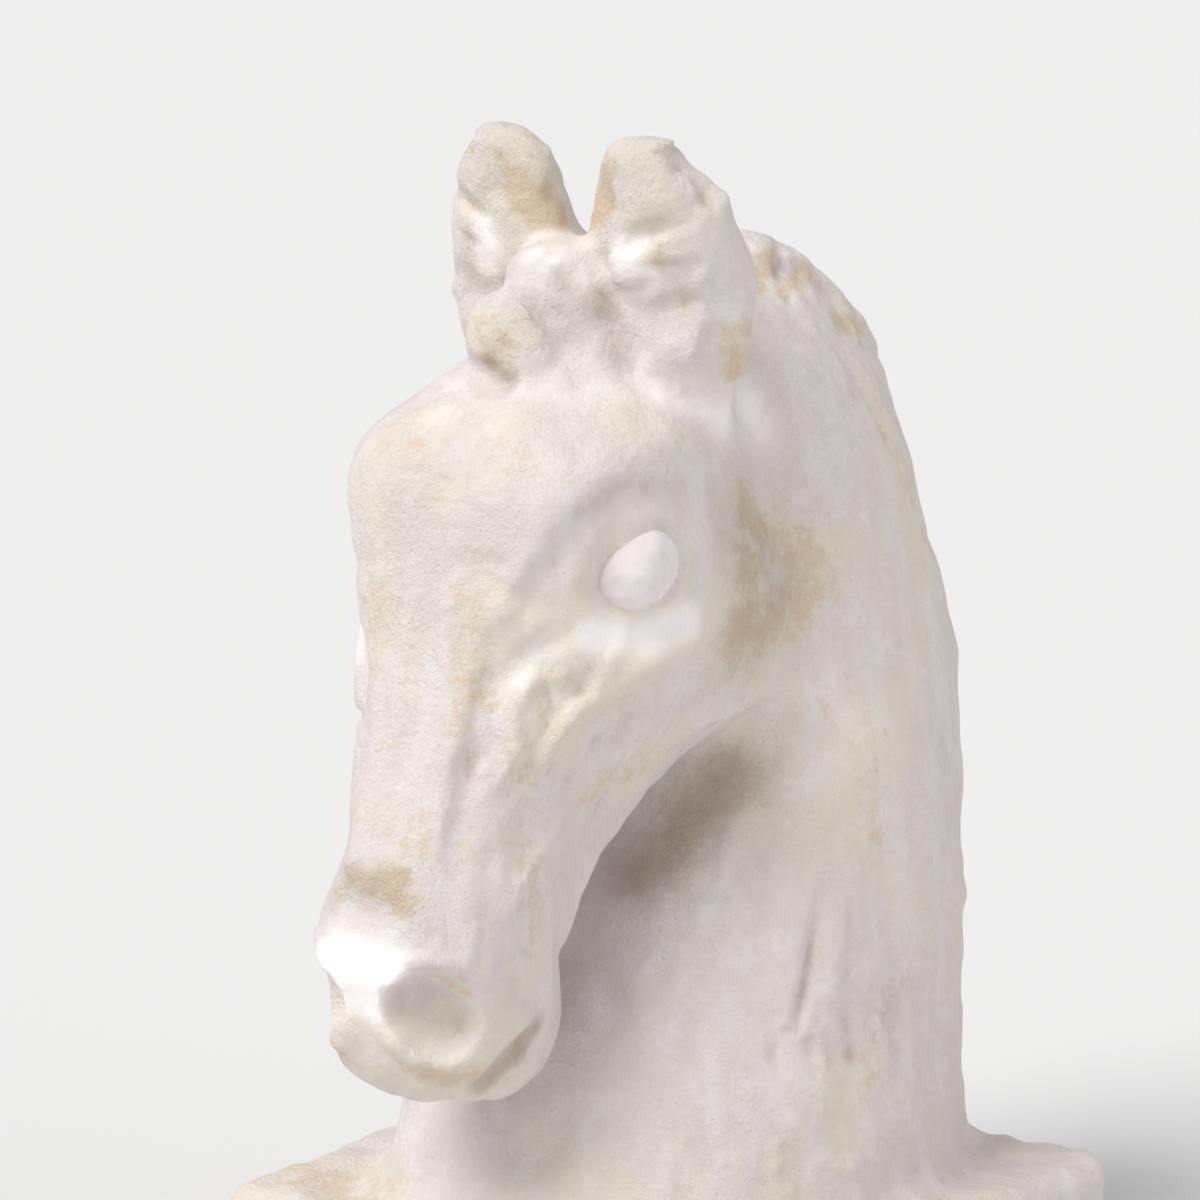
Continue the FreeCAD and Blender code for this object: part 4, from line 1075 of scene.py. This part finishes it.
# slot: two colours, features to the metre, stretch along X, Y and Z, metallic, roughness, bump depth
PLAIN_LOOKS = {
    "glass_mat": ((0.62, 0.64, 0.58), (0.80, 0.80, 0.74), 420, (1, 1, 6), 0.0, 0.75, 0.0008),
    "mortar": ((0.36, 0.34, 0.32), (0.50, 0.48, 0.45), 120, (1, 1, 1), 0.0, 0.92, 0.002),
    "black_steel": ((0.018, 0.018, 0.02), (0.05, 0.045, 0.045), 90, (1, 1, 1), 0.6, 0.5, 0.0003),
    "stainless": ((0.52, 0.52, 0.53), (0.66, 0.66, 0.66), 300, (1, 1, 8), 1.0, 0.3, 0.0001),
    "zinc_steel": ((0.48, 0.50, 0.52), (0.66, 0.67, 0.68), 160, (1, 1, 1), 1.0, 0.42, 0.0001),
    "brass": ((0.55, 0.38, 0.13), (0.72, 0.53, 0.22), 180, (1, 1, 1), 1.0, 0.36, 0.0001),
    "plywood": ((0.46, 0.31, 0.17), (0.66, 0.49, 0.30), 26, (1, 9, 9), 0.0, 0.65, 0.0004),
    "pine": ((0.62, 0.43, 0.22), (0.78, 0.60, 0.36), 34, (8, 8, 1), 0.0, 0.6, 0.0004),
    "black_rubber": ((0.018, 0.018, 0.018), (0.045, 0.043, 0.041), 260, (1, 1, 1), 0.0, 0.78, 0.0003),
    "sand": ((0.50, 0.39, 0.25), (0.72, 0.60, 0.42), 900, (1, 1, 1), 0.0, 0.95, 0.0015),
    "black_plastic": ((0.022, 0.022, 0.023), (0.045, 0.044, 0.043), 700, (1, 1, 1), 0.0, 0.48, 0.0002),
}


def plain_look(slot):
    """A two-tone procedural finish for a hidden or small part."""
    first, second, scale, stretch, metallic, roughness, depth = PLAIN_LOOKS[slot]
    look = Look(slot)
    tone = look.noise(scale, 5.0, 0.6, stretch)
    wear = look.noise(scale * 0.2, 3.0)
    colour = look.mix(look.ramp(tone, 0.35, 0.65), first, second)
    colour = look.mix(look.ramp(wear, 0.5, 0.8, 0.0, 0.3), colour, [0.6 * value for value in first])
    shine = look.ramp(wear, 0.3, 0.7, roughness - 0.08, roughness + 0.08)
    return look.finish(colour, shine, tone, depth, Metallic=metallic)


# ------------ camera, light and floor
def add_camera():
    """A long lens that looks down on the horse's left front."""
    data = bpy.data.cameras.new("camera")
    data.lens = 185.3
    data.sensor_width = 36
    camera = link("camera", data)
    camera.location = (1.8263, -2.4236, 1.1004)
    aim = Vector((-0.048, 0.003, 0.379)) - camera.location
    camera.rotation_euler = aim.to_track_quat("-Z", "Y").to_euler()
    bpy.context.scene.camera = camera


def add_sun(name, azimuth, elevation, strength, spread, colour):
    """A soft distant light from a compass angle, 0 in front and 90 on the horse's left."""
    data = bpy.data.lights.new(name, "SUN")
    data.energy = strength
    data.angle = math.radians(spread)
    data.color = colour
    turn = math.radians(azimuth)
    rise = math.radians(elevation)
    source = Vector((math.sin(turn) * math.cos(rise), -math.cos(turn) * math.cos(rise), math.sin(rise)))
    link(name, data).rotation_euler = (-source).to_track_quat("-Z", "Y").to_euler()


def add_stage():
    """A large pale floor under a soft even sky."""
    side = 30.0
    mesh = bpy.data.meshes.new("floor")
    corners = [(-side, -side, 0), (side, -side, 0), (side, side, 0), (-side, side, 0)]
    mesh.from_pydata(corners, [], [(0, 1, 2, 3)])
    floor = link("floor", mesh)
    look = Look("floor")
    tone = look.ramp(look.noise(3.0), 0.3, 0.7)
    colour = look.mix(tone, (0.755, 0.760, 0.766), (0.759, 0.764, 0.770))
    mesh.materials.append(look.finish(colour, 0.9))
    world = bpy.data.worlds.new("sky")
    world.use_nodes = True
    background = world.node_tree.nodes["Background"]
    background.inputs["Color"].default_value = (1, 1, 1, 1)
    background.inputs["Strength"].default_value = 0.50
    bpy.context.scene.world = world
    bpy.context.scene.view_settings.view_transform = "Standard"


# ------------ putting it together
def dress_nodes():
    """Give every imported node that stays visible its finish."""
    looks = {slot: plain_look(slot) for slot in PLAIN_LOOKS}
    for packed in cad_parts.values():
        for slot in packed.material_slots:
            name = slot.material.name.split(".")[0] if slot.material else ""
            if name in looks:
                slot.material = looks[name]


def build():
    """The castings and the eyes."""
    knight, hollow, regions = model_knight()
    masks = paint_masks()
    roughen(knight, masks["rough"], masks["white"])
    # how hollow the surface is round each point, which darkens the creases as painted shade
    masks["crease"] = -blur(knight, 7)
    wash = whitewash("whitewash_aged_painted_shade")
    for name, mesh in knight_pieces(knight, hollow, regions).items():
        mesh.materials.clear()
        mesh.materials.append(wash)
        record_masks(mesh, masks)
        add_piece("knight_" + name, mesh, name)
    polish = smooth_whitewash("whitewash_smooth")
    for side, name in ((1, "left_eye"), (-1, "right_eye")):
        mesh = eye_mesh(knight, side)
        mesh.materials.append(polish)
        add_piece("knight_" + name, mesh, name)


add_camera()
add_stage()
add_sun("key", azimuth=-15, elevation=50, strength=2.4, spread=32, colour=(1, 0.985, 0.965))
add_sun("fill", azimuth=95, elevation=22, strength=0.55, spread=60, colour=(1, 0.98, 0.97))
dress_nodes()
build()
